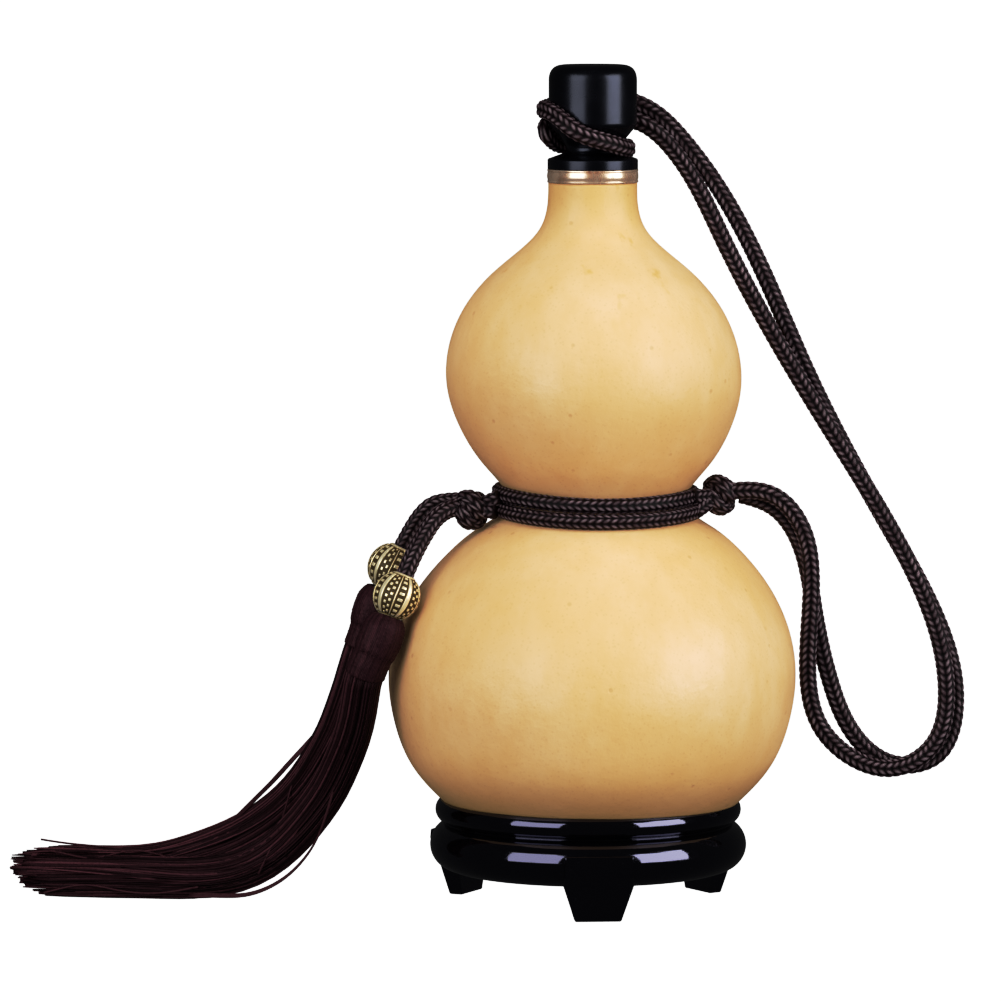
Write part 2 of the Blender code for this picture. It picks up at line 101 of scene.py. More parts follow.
def unit(vectors: Numbers) -> Numbers:
    """Each vector along the last axis, divided by its own length."""
    return vectors / np.linalg.norm(vectors, axis=-1, keepdims=True)


def run_along(points: Numbers) -> Numbers:
    """The length from the first point to each point, summed over the steps between them."""
    return np.concatenate([[0.0], np.cumsum(np.linalg.norm(np.diff(points, axis=0), axis=1))])


def smooth_step(values: Numbers, low: float, high: float) -> Numbers:
    """Three times the square less twice the cube of the share of the way from low to high.

    Args:
        values: Any numbers.
        low: Where the result is still zero.
        high: Where the result has become one. If it is less than low, the result falls as values rise.

    Returns:
        Numbers from zero to one, with no corner at either end.
    """
    share = np.clip((values - low) / (high - low), 0.0, 1.0)
    return share * share * (3.0 - 2.0 * share)


def natural_spline(points: Points, count: int) -> Numbers:
    """The natural cubic spline through the points, whose second slope is zero at both ends.

    The second slopes solve the usual three-term system, with the chord lengths as the parameter.

    Args:
        points: The points, one a row.
        count: How many places are read, spread evenly over the spans.

    Returns:
        The places on the curve, one a row.
    """
    points = np.asarray(points, float)
    size = len(points)
    step = np.linalg.norm(np.diff(points, axis=0), axis=1)
    knots = np.concatenate([[0.0], np.cumsum(step)])
    slope = np.diff(points, axis=0) / step[:, None]
    inner = np.arange(1, size - 1)
    system = np.eye(size)
    system[inner, inner - 1] = step[:-1]
    system[inner, inner] = 2 * (step[:-1] + step[1:])
    system[inner, inner + 1] = step[1:]
    right = np.zeros_like(points)
    right[1:-1] = 6 * np.diff(slope, axis=0)
    bend = np.linalg.solve(system, right)
    where = np.interp(np.linspace(0, size - 1, count), np.arange(size), knots)
    span = np.clip(np.searchsorted(knots, where, side="right") - 1, 0, size - 2)
    width = step[span][:, None]
    before = (where - knots[span])[:, None]
    after = width - before
    cubic = (bend[span] * after**3 + bend[span + 1] * before**3) / (6 * width)
    line = (points[span] / width - bend[span] * width / 6) * after
    return cubic + line + (points[span + 1] / width - bend[span + 1] * width / 6) * before


def even_rows(line: Numbers, count: int) -> Numbers:
    """The line read again at count places an equal length apart, one a row."""
    run = run_along(line)
    places = np.linspace(0.0, run[-1], count)
    return np.stack([np.interp(places, run, column) for column in line.T], axis=1)


def even_spline(points: Points, count: int) -> Numbers:
    """The natural spline through the points, read at count places an equal length apart."""
    return even_rows(natural_spline(points, CURVE_DENSITY * len(points)), count)


def rounded(corners: Sequence[Triple], steps: int = 7) -> Numbers:
    """A line with rounded corners: near a corner it is the quadratic curve that the corner steers.

    Args:
        corners: Radius, height and how far from the corner its rounding starts.
        steps: Points on each rounding.

    Returns:
        Radius and height, one point a row.
    """
    table = np.asarray(corners, float)
    place, size = table[:, :2], table[1:-1, 2]
    start = place[1:-1] + unit(place[:-2] - place[1:-1]) * size[:, None]
    end = place[1:-1] + unit(place[2:] - place[1:-1]) * size[:, None]
    t = np.linspace(0.0, 1.0, steps)[None, :, None]
    corner = place[1:-1, None]
    bends = (1 - t) ** 2 * start[:, None] + 2 * t * (1 - t) * corner + t**2 * end[:, None]
    line = np.concatenate([place[:1], bends.reshape(-1, 2), place[-1:]])
    keep = np.concatenate([[True], np.linalg.norm(np.diff(line, axis=0), axis=1) > SHORTEST_STEP])
    return line[keep]


def arc(middle: Triple, start: float, end: float, count: int) -> list[Triple]:
    """Corners on a round moulding: its middle plus its radius times the cosine and sine of the turn.

    Args:
        middle: Radius and height of the moulding's middle, and its own radius.
        start: First turn in degrees.
        end: Last turn in degrees.
        count: How many corners.

    Returns:
        Corners that need no rounding of their own.
    """
    x, z, radius = middle
    turns = np.radians(np.linspace(start, end, count))
    return [(x + radius * math.cos(turn), z + radius * math.sin(turn), SHARP) for turn in turns]


def ring_faces(rows: int, columns: int, closed: bool = False) -> Faces:
    """The quads of a grid whose columns run round and meet again.

    Args:
        rows: Rings in the grid.
        columns: Points on each ring.
        closed: Whether the last ring joins the first.

    Returns:
        Four point numbers a row.
    """
    ring = np.arange(rows if closed else rows - 1)[:, None]
    near, far = ring * columns, (ring + 1) % rows * columns
    j = np.arange(columns)[None, :]
    k = (j + 1) % columns
    return np.stack([near + j, near + k, far + k, far + j], axis=-1).reshape(-1, 4)


def linked(name: str, data: bpy.types.ID) -> Piece:
    """Puts a mesh, a light or a camera into the scene as an object at the origin."""
    made = bpy.data.objects.new(name, data)
    bpy.context.scene.collection.objects.link(made)
    return made


@dataclass
class Surface:
    """A surface as arrays: points in millimetres, faces by point number and numbers at the points."""

    points: Numbers
    quads: Faces
    triangles: Faces = field(default_factory=lambda: np.zeros((0, 3), int))
    values: dict[str, Numbers] = field(default_factory=dict)

    def capped(self, rows: int, columns: int) -> "Surface":
        """Closes a grid of rows by columns with a point in the middle of each end."""
        rings = self.points.reshape(rows, columns, 3)
        return self.with_poles(rings[0].mean(axis=0), rings[-1].mean(axis=0), rows, columns)

    def with_poles(self, first: Numbers, last: Numbers, rows: int, columns: int) -> "Surface":
        """Closes a grid of rings with a given point at each end.

        Args:
            first: The point that closes the first ring.
            last: The point that closes the last ring.
            rows: Rings in the grid.
            columns: Points on each ring.

        Returns:
            The closed surface.
        """
        size = rows * columns
        j = np.arange(columns)
        k = (j + 1) % columns
        top = (rows - 1) * columns
        fans = [
            np.stack([np.full(columns, size), k, j], 1),
            np.stack([np.full(columns, size + 1), top + j, top + k], 1),
        ]
        values = {
            name: np.concatenate([value, [value[:columns].mean(), value[-columns:].mean()]])
            for name, value in self.values.items()
        }
        points = np.concatenate([self.points, [first, last]])
        return Surface(points, self.quads, np.concatenate(fans), values)

    def outward(self) -> "Surface":
        """Turns the faces over if the volume that they close comes out negative."""
        halves = [self.quads[:, [0, 1, 2]], self.quads[:, [0, 2, 3]]]
        triangles = np.concatenate([*halves, self.triangles])
        a, b, c = (self.points[triangles[:, i]] for i in range(3))
        if np.einsum("ij,ij->i", a, np.cross(b, c)).sum() >= 0:
            return self
        return Surface(self.points, self.quads[:, ::-1], self.triangles[:, ::-1], self.values)

    @staticmethod
    def joined(parts: Sequence["Surface"]) -> "Surface":
        """Puts surfaces into one mesh, each still closed by itself.

        Args:
            parts: The surfaces, all with the same named numbers.

        Returns:
            One surface.
        """
        starts = np.concatenate([[0], np.cumsum([len(part.points) for part in parts])[:-1]])
        return Surface(
            np.concatenate([part.points for part in parts]),
            np.concatenate([part.quads + start for part, start in zip(parts, starts)]),
            np.concatenate([part.triangles + start for part, start in zip(parts, starts)]),
            {name: np.concatenate([part.values[name] for part in parts]) for name in parts[0].values},
        )

    def mesh(self, name: str) -> Piece:
        """Writes the surface as a smooth mesh object in metres.

        Args:
            name: The object's name.

        Returns:
            The object, which sits at the origin.
        """
        made = bpy.data.meshes.new(name)
        made.from_pydata(self.points * MM, [], self.quads.tolist() + self.triangles.tolist())
        for key, value in self.values.items():
            attribute = made.attributes.new(key, "FLOAT", "POINT")
            attribute.data.foreach_set("value", value.astype(np.float32))
        made.shade_smooth()
        made.update()
        return linked(name, made)


def lathe(profile: Numbers, sides: int, x: float = 0.0) -> Surface:
    """A profile spun round an upright axis: radius times cosine and sine of the turn, at its height.

    Args:
        profile: Radius and height, one point a row. Ends that lie on the axis become poles.
        sides: Points on each ring.
        x: Where the axis stands.

    Returns:
        A closed surface.
    """
    on_axis = profile[0, 0] < 1e-6
    body = profile[1:-1] if on_axis else profile
    turn = np.arange(sides) * 2 * math.pi / sides
    radius, height = body[:, :1], body[:, 1:]
    across, along = x + radius * np.cos(turn), radius * np.sin(turn)
    grid = np.stack([across, along, np.broadcast_to(height, across.shape)], axis=-1)
    surface = Surface(grid.reshape(-1, 3), ring_faces(len(body), sides, closed=not on_axis))
    if not on_axis:
        return surface.outward()
    ends = [np.array([x, 0.0, profile[end, 1]]) for end in (0, -1)]
    return surface.with_poles(ends[0], ends[1], len(body), sides).outward()


def carried_frame(path: Numbers, facing: Numbers, closed: bool = False) -> tuple[Numbers, Numbers]:
    """Directions carried along a path: out towards the side that faces, and across.

    Out is the facing direction less its share along the path. Its sign follows its neighbour's, so a
    flat cord never flips, and a running mean over a few millimetres takes out sudden twists.

    Args:
        path: The places on the path, one a row.
        facing: The wished direction at each place.
        closed: Whether the path joins up.

    Returns:
        Out and across, one of each a place.
    """
    if closed:
        forward = unit(np.roll(path, -1, axis=0) - np.roll(path, 1, axis=0))
    else:
        forward = unit(np.gradient(path, axis=0))
    out = unit(facing - np.sum(facing * forward, axis=1, keepdims=True) * forward)
    agree = np.sign(np.sum(out[1:] * out[:-1], axis=1))
    out[1:] *= np.cumprod(np.where(agree == 0, 1.0, agree))[:, None]
    if not closed:
        reach = min(24, len(path) // 4)
        padded = np.pad(out, ((reach, reach), (0, 0)), mode="edge")
        window = np.hanning(2 * reach + 3)[1:-1]
        window /= window.sum()
        out = np.stack([np.convolve(column, window, mode="valid") for column in padded.T], axis=1)
        out = unit(out - np.sum(out * forward, axis=1, keepdims=True) * forward)
    return out, np.cross(forward, out)


# Finishes


def tint(colour: Triple) -> tuple[float, float, float, float]:
    """A display colour, each part from 0 to 255, as the linear colour that a shader takes."""
    red, green, blue = (
        ((part / 255 + 0.055) / 1.055) ** 2.4 if part > 10 else part / 255 / 12.92 for part in colour
    )
    return (red, green, blue, 1.0)


class Wiring:
    """The nodes of one material, round a single Principled shader."""

    def __init__(self, name: str) -> None:
        """Makes the material and keeps its tree and shader."""
        self.material = bpy.data.materials.new(name)
        self.material.use_nodes = True
        self.tree = self.material.node_tree
        self.shader = self.tree.nodes["Principled BSDF"]

    def node(
        self, kind: str, inputs: dict[str | int, object] | None = None, **settings: object
    ) -> bpy.types.Node:
        """Adds a node.

        Args:
            kind: The node's Blender type, without its leading "ShaderNode".
            inputs: Values for its sockets, or sockets to link to them.
            settings: Values for its own options.

        Returns:
            The node.
        """
        made = self.tree.nodes.new("ShaderNode" + kind)
        for key, value in settings.items():
            setattr(made, key, value)
        for key, value in (inputs or {}).items():
            self.feed(made.inputs[key], value)
        return made

    def feed(self, socket: Socket, value: object) -> None:
        """Links a socket to another, or sets its value."""
        if isinstance(value, Socket):
            self.tree.links.new(value, socket)
        else:
            socket.default_value = value

    def surface(self, **inputs: object) -> bpy.types.Material:
        """Feeds the shader by socket name, with spaces for underscores, and returns the material."""
        for key, value in inputs.items():
            self.feed(self.shader.inputs[key.replace("_", " ")], value)
        return self.material

    def place(self, scale: Triple = (1.0, 1.0, 1.0)) -> Socket:
        """The place on the piece in metres, stretched by a scale."""
        spot = self.node("TexCoord").outputs["Object"]
        return self.node("Mapping", {"Vector": spot, "Scale": scale}).outputs["Vector"]

    def noise(
        self, scale: float, detail: float = 3.0, roughness: float = 0.5,
        stretch: Triple = (1.0, 1.0, 1.0),
    ) -> Socket:
        """Smooth noise from 0 to 1, with scale as its number of waves a metre."""
        vector = self.place(stretch)
        inputs = {"Vector": vector, "Scale": scale, "Detail": detail, "Roughness": roughness}
        return self.node("TexNoise", inputs).outputs["Fac"]

    def cells(self, scale: float) -> bpy.types.Node:
        """Voronoi cells, with scale as their number a metre."""
        return self.node("TexVoronoi", {"Vector": self.place(), "Scale": scale, "Randomness": 1.0})

    def spread(
        self, value: object, low: float, high: float, start: float = 0.0, end: float = 1.0
    ) -> Socket:
        """Carries low..high smoothly to start..end and holds it there outside."""
        inputs = {"Value": value, "From Min": low, "From Max": high, "To Min": start, "To Max": end}
        return self.node("MapRange", inputs, interpolation_type="SMOOTHSTEP").outputs["Result"]

    def mix(self, share: object, first: object, second: object) -> Socket:
        """Mixes two colours by a share. The sockets are the mix node's factor and its two colours."""
        return self.node("Mix", {0: share, 6: first, 7: second}, data_type="RGBA").outputs[2]

    def combine(self, first: object, second: object, operation: str = "MULTIPLY") -> Socket:
        """One step of arithmetic on two numbers."""
        return self.node("Math", {0: first, 1: second}, operation=operation).outputs["Value"]

    def number(self, name: str) -> Socket:
        """A number that the mesh carries at its points."""
        return self.node("Attribute", None, attribute_name=name).outputs["Fac"]

    def bump(self, height: object, strength: float, distance: float) -> Socket:
        """A bumped normal, with the distance in metres."""
        inputs = {"Height": height, "Strength": strength, "Distance": distance}
        return self.node("Bump", inputs).outputs["Normal"]


@dataclass(frozen=True)
class GourdSkin:
    """Dry tan skin: cloudy mottling, streaks at the neck and specks, and painted shade: a warmer tone
    low on each lobe and high on the neck, darker at the base.

    A zone is a pair of heights in metres, from where it hasn't begun to where it is full. Waves and
    cells are counted to the metre.
    """

    pale: Triple = (229, 191, 149)
    warm: Triple = (218, 173, 123)
    # The deep colour is painted shade: a warmer, darker tone under the upper lobe, low on the belly and
    # high on the neck.
    deep: Triple = (210, 169, 115)
    streak: Triple = (196, 142, 66)
    # The base colour is painted shade, darker towards the bottom where the gourd sits in the stand.
    base: Triple = (164, 134, 88)
    speck: Triple = (150, 96, 52)
    lobe_shade_zone: Pair = (0.112, 0.094)
    waist_shade_zone: Pair = (0.086, 0.092)
    belly_shade_zone: Pair = (0.052, 0.018)
    neck_shade_zone: Pair = (0.148, 0.16)
    streak_zone: Pair = (0.128, 0.142)
    base_shade_zone: Pair = (0.036, 0.014)
    cloud_waves: float = 30.0
    fine_waves: float = 210.0
    fine_stretch: Triple = (1.0, 1.0, 0.45)
    shade_zone_waves: float = 55.0
    streak_waves: float = 150.0
    streak_stretch: Triple = (1.0, 1.0, 0.22)
    speck_cells: float = 230.0
    speck_share: float = 0.22
    pore_cells: float = 900.0
    pore_share: float = 0.10
    relief_waves: float = 420.0
    gloss_waves: float = 90.0
    roughness: Pair = (0.37, 0.53)
    specular: float = 0.62
    bump: Pair = (0.24, 0.0006)

    def material(self) -> bpy.types.Material:
        """Builds the material."""
        w = Wiring("dry_gourd_skin")
        height = w.node("SeparateXYZ", {"Vector": w.place()}).outputs["Z"]
        cloud = w.spread(w.noise(self.cloud_waves, 4.0, 0.55), 0.32, 0.68)
        fine = w.spread(w.noise(self.fine_waves, 4.0, 0.6, self.fine_stretch), 0.3, 0.72)
        colour = w.mix(w.combine(cloud, 0.6), tint(self.pale), tint(self.warm))
        colour = w.mix(w.combine(fine, 0.45), colour, tint(self.warm))
        # Painted shade: the deep tone under the upper lobe, low on the belly and high on the neck,
        # broken up by noise.
        waist = w.spread(height, *self.waist_shade_zone, 0.0, 0.35)
        lobe = w.combine(w.spread(height, *self.lobe_shade_zone), waist)
        shade_zones = w.combine(lobe, w.spread(height, *self.belly_shade_zone), "MAXIMUM")
        shade_zones = w.combine(shade_zones, w.spread(height, *self.neck_shade_zone), "MAXIMUM")
        shade_zones = w.combine(shade_zones, w.spread(w.noise(self.shade_zone_waves), 0.2, 0.7, 0.45, 0.85))
        colour = w.mix(shade_zones, colour, tint(self.deep))
        # Painted shade: the skin darkens towards the bottom.
        colour = w.mix(w.spread(height, *self.base_shade_zone, 0.0, 0.8), colour, tint(self.base))
        marks = w.noise(self.streak_waves, 3.0, 0.6, self.streak_stretch)
        marks = w.spread(marks, 0.62, 0.72, 0.0, 0.45)
        marks = w.combine(marks, w.spread(height, *self.streak_zone))
        colour = w.mix(marks, colour, tint(self.streak))
        cells = w.cells(self.speck_cells)
        parts = w.node("SeparateColor", {"Color": cells.outputs["Color"]})
        chosen = w.spread(parts.outputs["Red"], 0.72, 0.8)
        dot = w.combine(w.spread(cells.outputs["Distance"], 0.16, 0.07), chosen)
        colour = w.mix(w.combine(dot, self.speck_share), colour, tint(self.speck))
        pore = w.spread(w.cells(self.pore_cells).outputs["Distance"], 0.3, 0.12)
        colour = w.mix(w.combine(pore, self.pore_share), colour, tint(self.speck))
        relief = w.combine(w.noise(self.relief_waves, 4.0, 0.6), w.combine(dot, 0.5), "SUBTRACT")
        return w.surface(
            Base_Color=colour,
            Roughness=w.spread(w.noise(self.gloss_waves), 0.3, 0.7, *self.roughness),
            Specular_IOR_Level=self.specular,
            Normal=w.bump(relief, *self.bump),
        )


@dataclass(frozen=True)
class PolishedBrass:
    """A thin brass band, a little worn, with fine turning lines and dulled patches."""

    bright: Triple = (240, 214, 190)
    dull: Triple = (180, 140, 112)
    metallic: float = 0.7
    patch_waves: float = 260.0
    line_waves: float = 900.0

    def material(self) -> bpy.types.Material:
        """Builds the material."""
        w = Wiring("polished_brass")
        patches = w.spread(w.noise(self.patch_waves, 5.0, 0.65, (1.0, 1.0, 0.6)), 0.45, 0.72)
        lines = w.noise(self.line_waves, 2.0, 0.5, (0.05, 0.05, 6.0))
        return w.surface(
            Base_Color=w.mix(patches, tint(self.bright), tint(self.dull)),
            Metallic=self.metallic,
            Roughness=w.spread(patches, 0.0, 1.0, 0.2, 0.42),
            Normal=w.bump(w.combine(lines, patches, "ADD"), 0.12, 0.0001),
        )


@dataclass(frozen=True)
class SatinBlack:
    """The stopper's black, turned and rubbed to a soft sheen."""

    colour: Triple = (6, 6, 9)
    cloudy: Triple = (9, 9, 13)
    sheen: Triple = (222, 228, 255)
    roughness: Pair = (0.23, 0.28)
    specular: float = 0.72

    def material(self) -> bpy.types.Material:
        """Builds the material."""
        w = Wiring("satin_black")
        grain = w.noise(700.0, 3.0, 0.55, (0.3, 0.3, 2.5))
        cloud = w.spread(w.noise(120.0, 3.0), 0.3, 0.7)
        return w.surface(
            Base_Color=w.mix(cloud, tint(self.colour), tint(self.cloudy)),
            Roughness=w.spread(cloud, 0.0, 1.0, *self.roughness),
            Specular_IOR_Level=self.specular,
            Specular_Tint=tint(self.sheen),
            Normal=w.bump(grain, 0.05, 0.0001),
        )


@dataclass(frozen=True)
class BlackLacquer:
    """Thick glossy lacquer: a mirror coat with the faint unevenness of a brushed layer and some dust."""

    colour: Triple = (4, 4, 5)
    dusty: Triple = (28, 28, 32)
    sheen: Triple = (222, 220, 255)
    roughness: Pair = (0.04, 0.1)
    ior: float = 2.05

    def material(self) -> bpy.types.Material:
        """Builds the material."""
        w = Wiring("black_lacquer")
        wave = w.noise(95.0, 2.0, 0.45)
        dust = w.spread(w.noise(1500.0, 2.0), 0.7, 0.8)
        return w.surface(
            Base_Color=w.mix(dust, tint(self.colour), tint(self.dusty)),
            Roughness=w.spread(w.noise(420.0, 3.0, 0.6, (1.0, 1.0, 2.5)), 0.35, 0.7, *self.roughness),
            IOR=self.ior,
            Specular_Tint=tint(self.sheen),
            Normal=w.bump(wave, 0.1, 0.0008),
        )


@dataclass(frozen=True)
class BraidedSilk:
    """Dark plum-brown braid, with painted shade, nearly black, between its stitches and a greyer painted
    highlight on their crests.
    """

    # The groove colour is painted shade between the stitches and also the tone of dark flecks in the
    # yarn; the crest colour is a painted highlight.
    groove: Triple = (7, 3, 4)
    body: Triple = (60, 42, 48)
    crest_highlight: Triple = (136, 120, 126)
    roughness: float = 0.5
    specular: float = 0.2

    def material(self) -> bpy.types.Material:
        """Builds the material."""
        w = Wiring("braided_silk")
        stitch = w.number("stitch")
        yarn = w.noise(2600.0, 2.0, 0.6)
        rise = w.spread(stitch, 0.3, 0.75)
        # Noise that makes the painted highlight on the crests uneven.
        rubbed = w.spread(w.noise(420.0, 2.0), 0.3, 0.65, 0.2, 1.0)
        top = w.combine(w.spread(stitch, 0.58, 0.98), rubbed)
        # Painted shade where the stitches sink, and a painted highlight on their crests.
        colour = w.mix(rise, tint(self.groove), tint(self.body))
        colour = w.mix(top, colour, tint(self.crest_highlight))
        colour = w.mix(w.spread(yarn, 0.4, 0.75, 0.0, 0.3), colour, tint(self.groove))
        return w.surface(
            Base_Color=colour,
            Roughness=self.roughness,
            Specular_IOR_Level=self.specular,
            Normal=w.bump(yarn, 0.35, 0.00012),
        )


@dataclass(frozen=True)
class AntiqueBrass:
    """Cast brass with black left in its recesses and the relief rubbed bright."""

    recess: Triple = (80, 65, 38)
    flank: Triple = (176, 152, 96)
    bright: Triple = (255, 244, 208)

    def material(self) -> bpy.types.Material:
        """Builds the material."""
        w = Wiring("antique_brass")
        relief = w.number("relief")
        wear = w.noise(800.0, 3.0, 0.6)
        uneven = w.combine(relief, w.spread(wear, 0.2, 0.8, -0.08, 0.08), "ADD")
        rise = w.spread(uneven, 0.18, 0.5)
        colour = w.mix(rise, tint(self.recess), tint(self.flank))
        colour = w.mix(w.spread(relief, 0.5, 0.85), colour, tint(self.bright))
        return w.surface(
            Base_Color=colour,
            Metallic=w.spread(relief, 0.1, 0.5, 0.3, 0.6),
            Roughness=w.spread(relief, 0.2, 0.9, 0.5, 0.3),
            Normal=w.bump(wear, 0.12, 0.0001),
        )


@dataclass(frozen=True)
class PlumSilk:
    """Tassel thread: dark plum silk, each thread a tone of its own, with a narrow shine along it."""

    dark: Triple = (6, 3, 4)
    plum: Triple = (100, 60, 68)
    sheen: Triple = (255, 190, 205)
    roughness: float = 0.42
    specular: float = 0.3

    def material(self) -> bpy.types.Material:
        """Builds the material."""
        w = Wiring("plum_silk")
        # The tone is each thread's own; on the cap and the core it also carries painted shade.
        tone = w.number("tone")
        fleck = w.noise(1300.0, 3.0, 0.65)
        colour = w.mix(tone, tint(self.dark), tint(self.plum))
        colour = w.mix(w.spread(fleck, 0.45, 0.75, 0.0, 0.5), colour, tint(self.dark))
        return w.surface(
            Base_Color=colour,
            Roughness=self.roughness,
            Specular_IOR_Level=self.specular,
            Specular_Tint=tint(self.sheen),
            Normal=w.bump(fleck, 0.3, 0.0001),
        )


class Finishes:
    """Every finish of the object, made once."""

    def __init__(self) -> None:
        """Builds the materials by slot."""
        self.by_slot: dict[Slot, bpy.types.Material] = {
            Slot.SKIN: GourdSkin().material(),
            Slot.RING: PolishedBrass().material(),
            Slot.STOPPER: SatinBlack().material(),
            Slot.LACQUER: BlackLacquer().material(),
            Slot.CORD: BraidedSilk().material(),
            Slot.BEAD: AntiqueBrass().material(),
            Slot.SILK: PlumSilk().material(),
        }

    def dress(self, piece: Piece, slot: Slot, *nodes: str) -> Piece:
        """Gives a piece its finish, sets it on the body and puts it in the place of its nodes.

        Args:
            piece: The finished piece.
            slot: The record's slot that it takes its finish from.
            nodes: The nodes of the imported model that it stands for.

        Returns:
            The same piece.
        """
        piece.data.materials.append(self.by_slot[slot])
        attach(piece, BODY)
        if nodes:
            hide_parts(*nodes)
        LOG.info("%s: %d faces", piece.name, len(piece.data.polygons))
        return piece


# The studio


@dataclass
class Softbox:
    """A rectangular studio light that looks at a point above the table."""

    name: str
    azimuth: float
    elevation: float
    distance: float
    width: float
    height: float
    radiance: float
    mirrored: bool = True
    aim: Triple = (0.0, 0.0, 90.0)

    def light(self) -> Piece:
        """Makes the light, whose power is its radiance times pi times its area."""
        turn, rise = math.radians(self.azimuth), math.radians(self.elevation)
        flat = self.distance * math.cos(rise)
        level = self.distance * math.sin(rise)
        place = np.array([flat * math.sin(turn), -flat * math.cos(turn), level])
        data = bpy.data.lights.new(self.name, "AREA")
        data.shape = "RECTANGLE"
        data.size = self.width * MM
        data.size_y = self.height * MM
        data.energy = self.radiance * math.pi * data.size * data.size_y
        made = linked(self.name, data)
        made.location = (place + self.aim) * MM
        made.rotation_euler = (math.pi / 2 - rise, 0.0, turn)
        made.visible_glossy = self.mirrored
        return made


@dataclass
class Studio:
    """The camera, the white table and the softboxes."""

    focal_length: float = 257.6
    sensor: float = 36.0
    camera_place: Triple = (-20.3, -1592.0, 235.0)
    camera_pitch: float = 84.8
    camera_reach: float = 100.0
    floor_reach: float = 30.0
    table_grey: Triple = (30, 30, 30)
    table_glow: float = 1.03
    ambient: float = 0.33
    ambient_mirrored: float = 0.03
    tone_curve: tuple[Pair, ...] = (
        (0.06, 0.033), (0.176, 0.128), (0.297, 0.32), (0.457, 0.565), (0.8, 0.86),
    )
    softboxes: tuple[Softbox, ...] = (
        Softbox("softbox_left", -41.0, 14.0, 1250.0, 900.0, 830.0, 2.6),
        Softbox("softbox_right", 57.0, 14.0, 1250.0, 900.0, 830.0, 3.9),
        Softbox("softbox_top", 8.0, 62.0, 1250.0, 1000.0, 700.0, 2.6, mirrored=False),
    )

    def camera(self) -> None:
        """Sets the camera where the photograph was taken from."""
        data = bpy.data.cameras.new("studio_camera")
        data.lens = self.focal_length
        data.sensor_width = self.sensor
        data.clip_end = self.camera_reach
        made = linked("studio_camera", data)
        made.location = np.array(self.camera_place) * MM
        made.rotation_euler = (math.radians(self.camera_pitch), 0.0, 0.0)
        bpy.context.scene.camera = made

    def floor(self) -> None:
        """Lays a table that reaches past the view and glows evenly, so that it shows plain white."""
        reach = self.floor_reach
        mesh = bpy.data.meshes.new("white_table")
        corners = [(-reach, -reach, 0), (reach, -reach, 0), (reach, reach, 0), (-reach, reach, 0)]
        mesh.from_pydata(corners, [], [(0, 1, 2, 3)])
        table = linked("white_table", mesh)
        w = Wiring("white_table")
        mesh.materials.append(w.surface(
            Base_Color=tint(self.table_grey),
            Roughness=0.9,
            Specular_IOR_Level=0.0,
            Emission_Color=WHITE,
            Emission_Strength=self.table_glow,
        ))
        table.visible_glossy = False
        table.visible_diffuse = False

    def surroundings(self) -> None:
        """Fills the room with a little even light."""
        world = bpy.data.worlds.new("studio_room")
        world.use_nodes = True
        nodes, links = world.node_tree.nodes, world.node_tree.links
        light_path = nodes.new("ShaderNodeLightPath")
        share = nodes.new("ShaderNodeMapRange")
        share.inputs["To Min"].default_value = self.ambient
        share.inputs["To Max"].default_value = self.ambient_mirrored
        links.new(light_path.outputs["Is Glossy Ray"], share.inputs["Value"])
        nodes["Background"].inputs["Color"].default_value = WHITE
        links.new(share.outputs["Result"], nodes["Background"].inputs["Strength"])
        bpy.context.scene.world = world

    def development(self) -> None:
        """Gives the picture its contrast by a tone curve: deep shadows and soft highlights."""
        view = bpy.context.scene.view_settings
        view.view_transform = "Standard"
        view.use_curve_mapping = True
        for place, value in self.tone_curve:
            view.curve_mapping.curves[3].points.new(place, value)
        view.curve_mapping.update()

    def build(self) -> None:
        """Makes the whole studio."""
        self.camera()
        self.floor()
        self.surroundings()
        self.development()
        for box in self.softboxes:
            box.light()


# The gourd


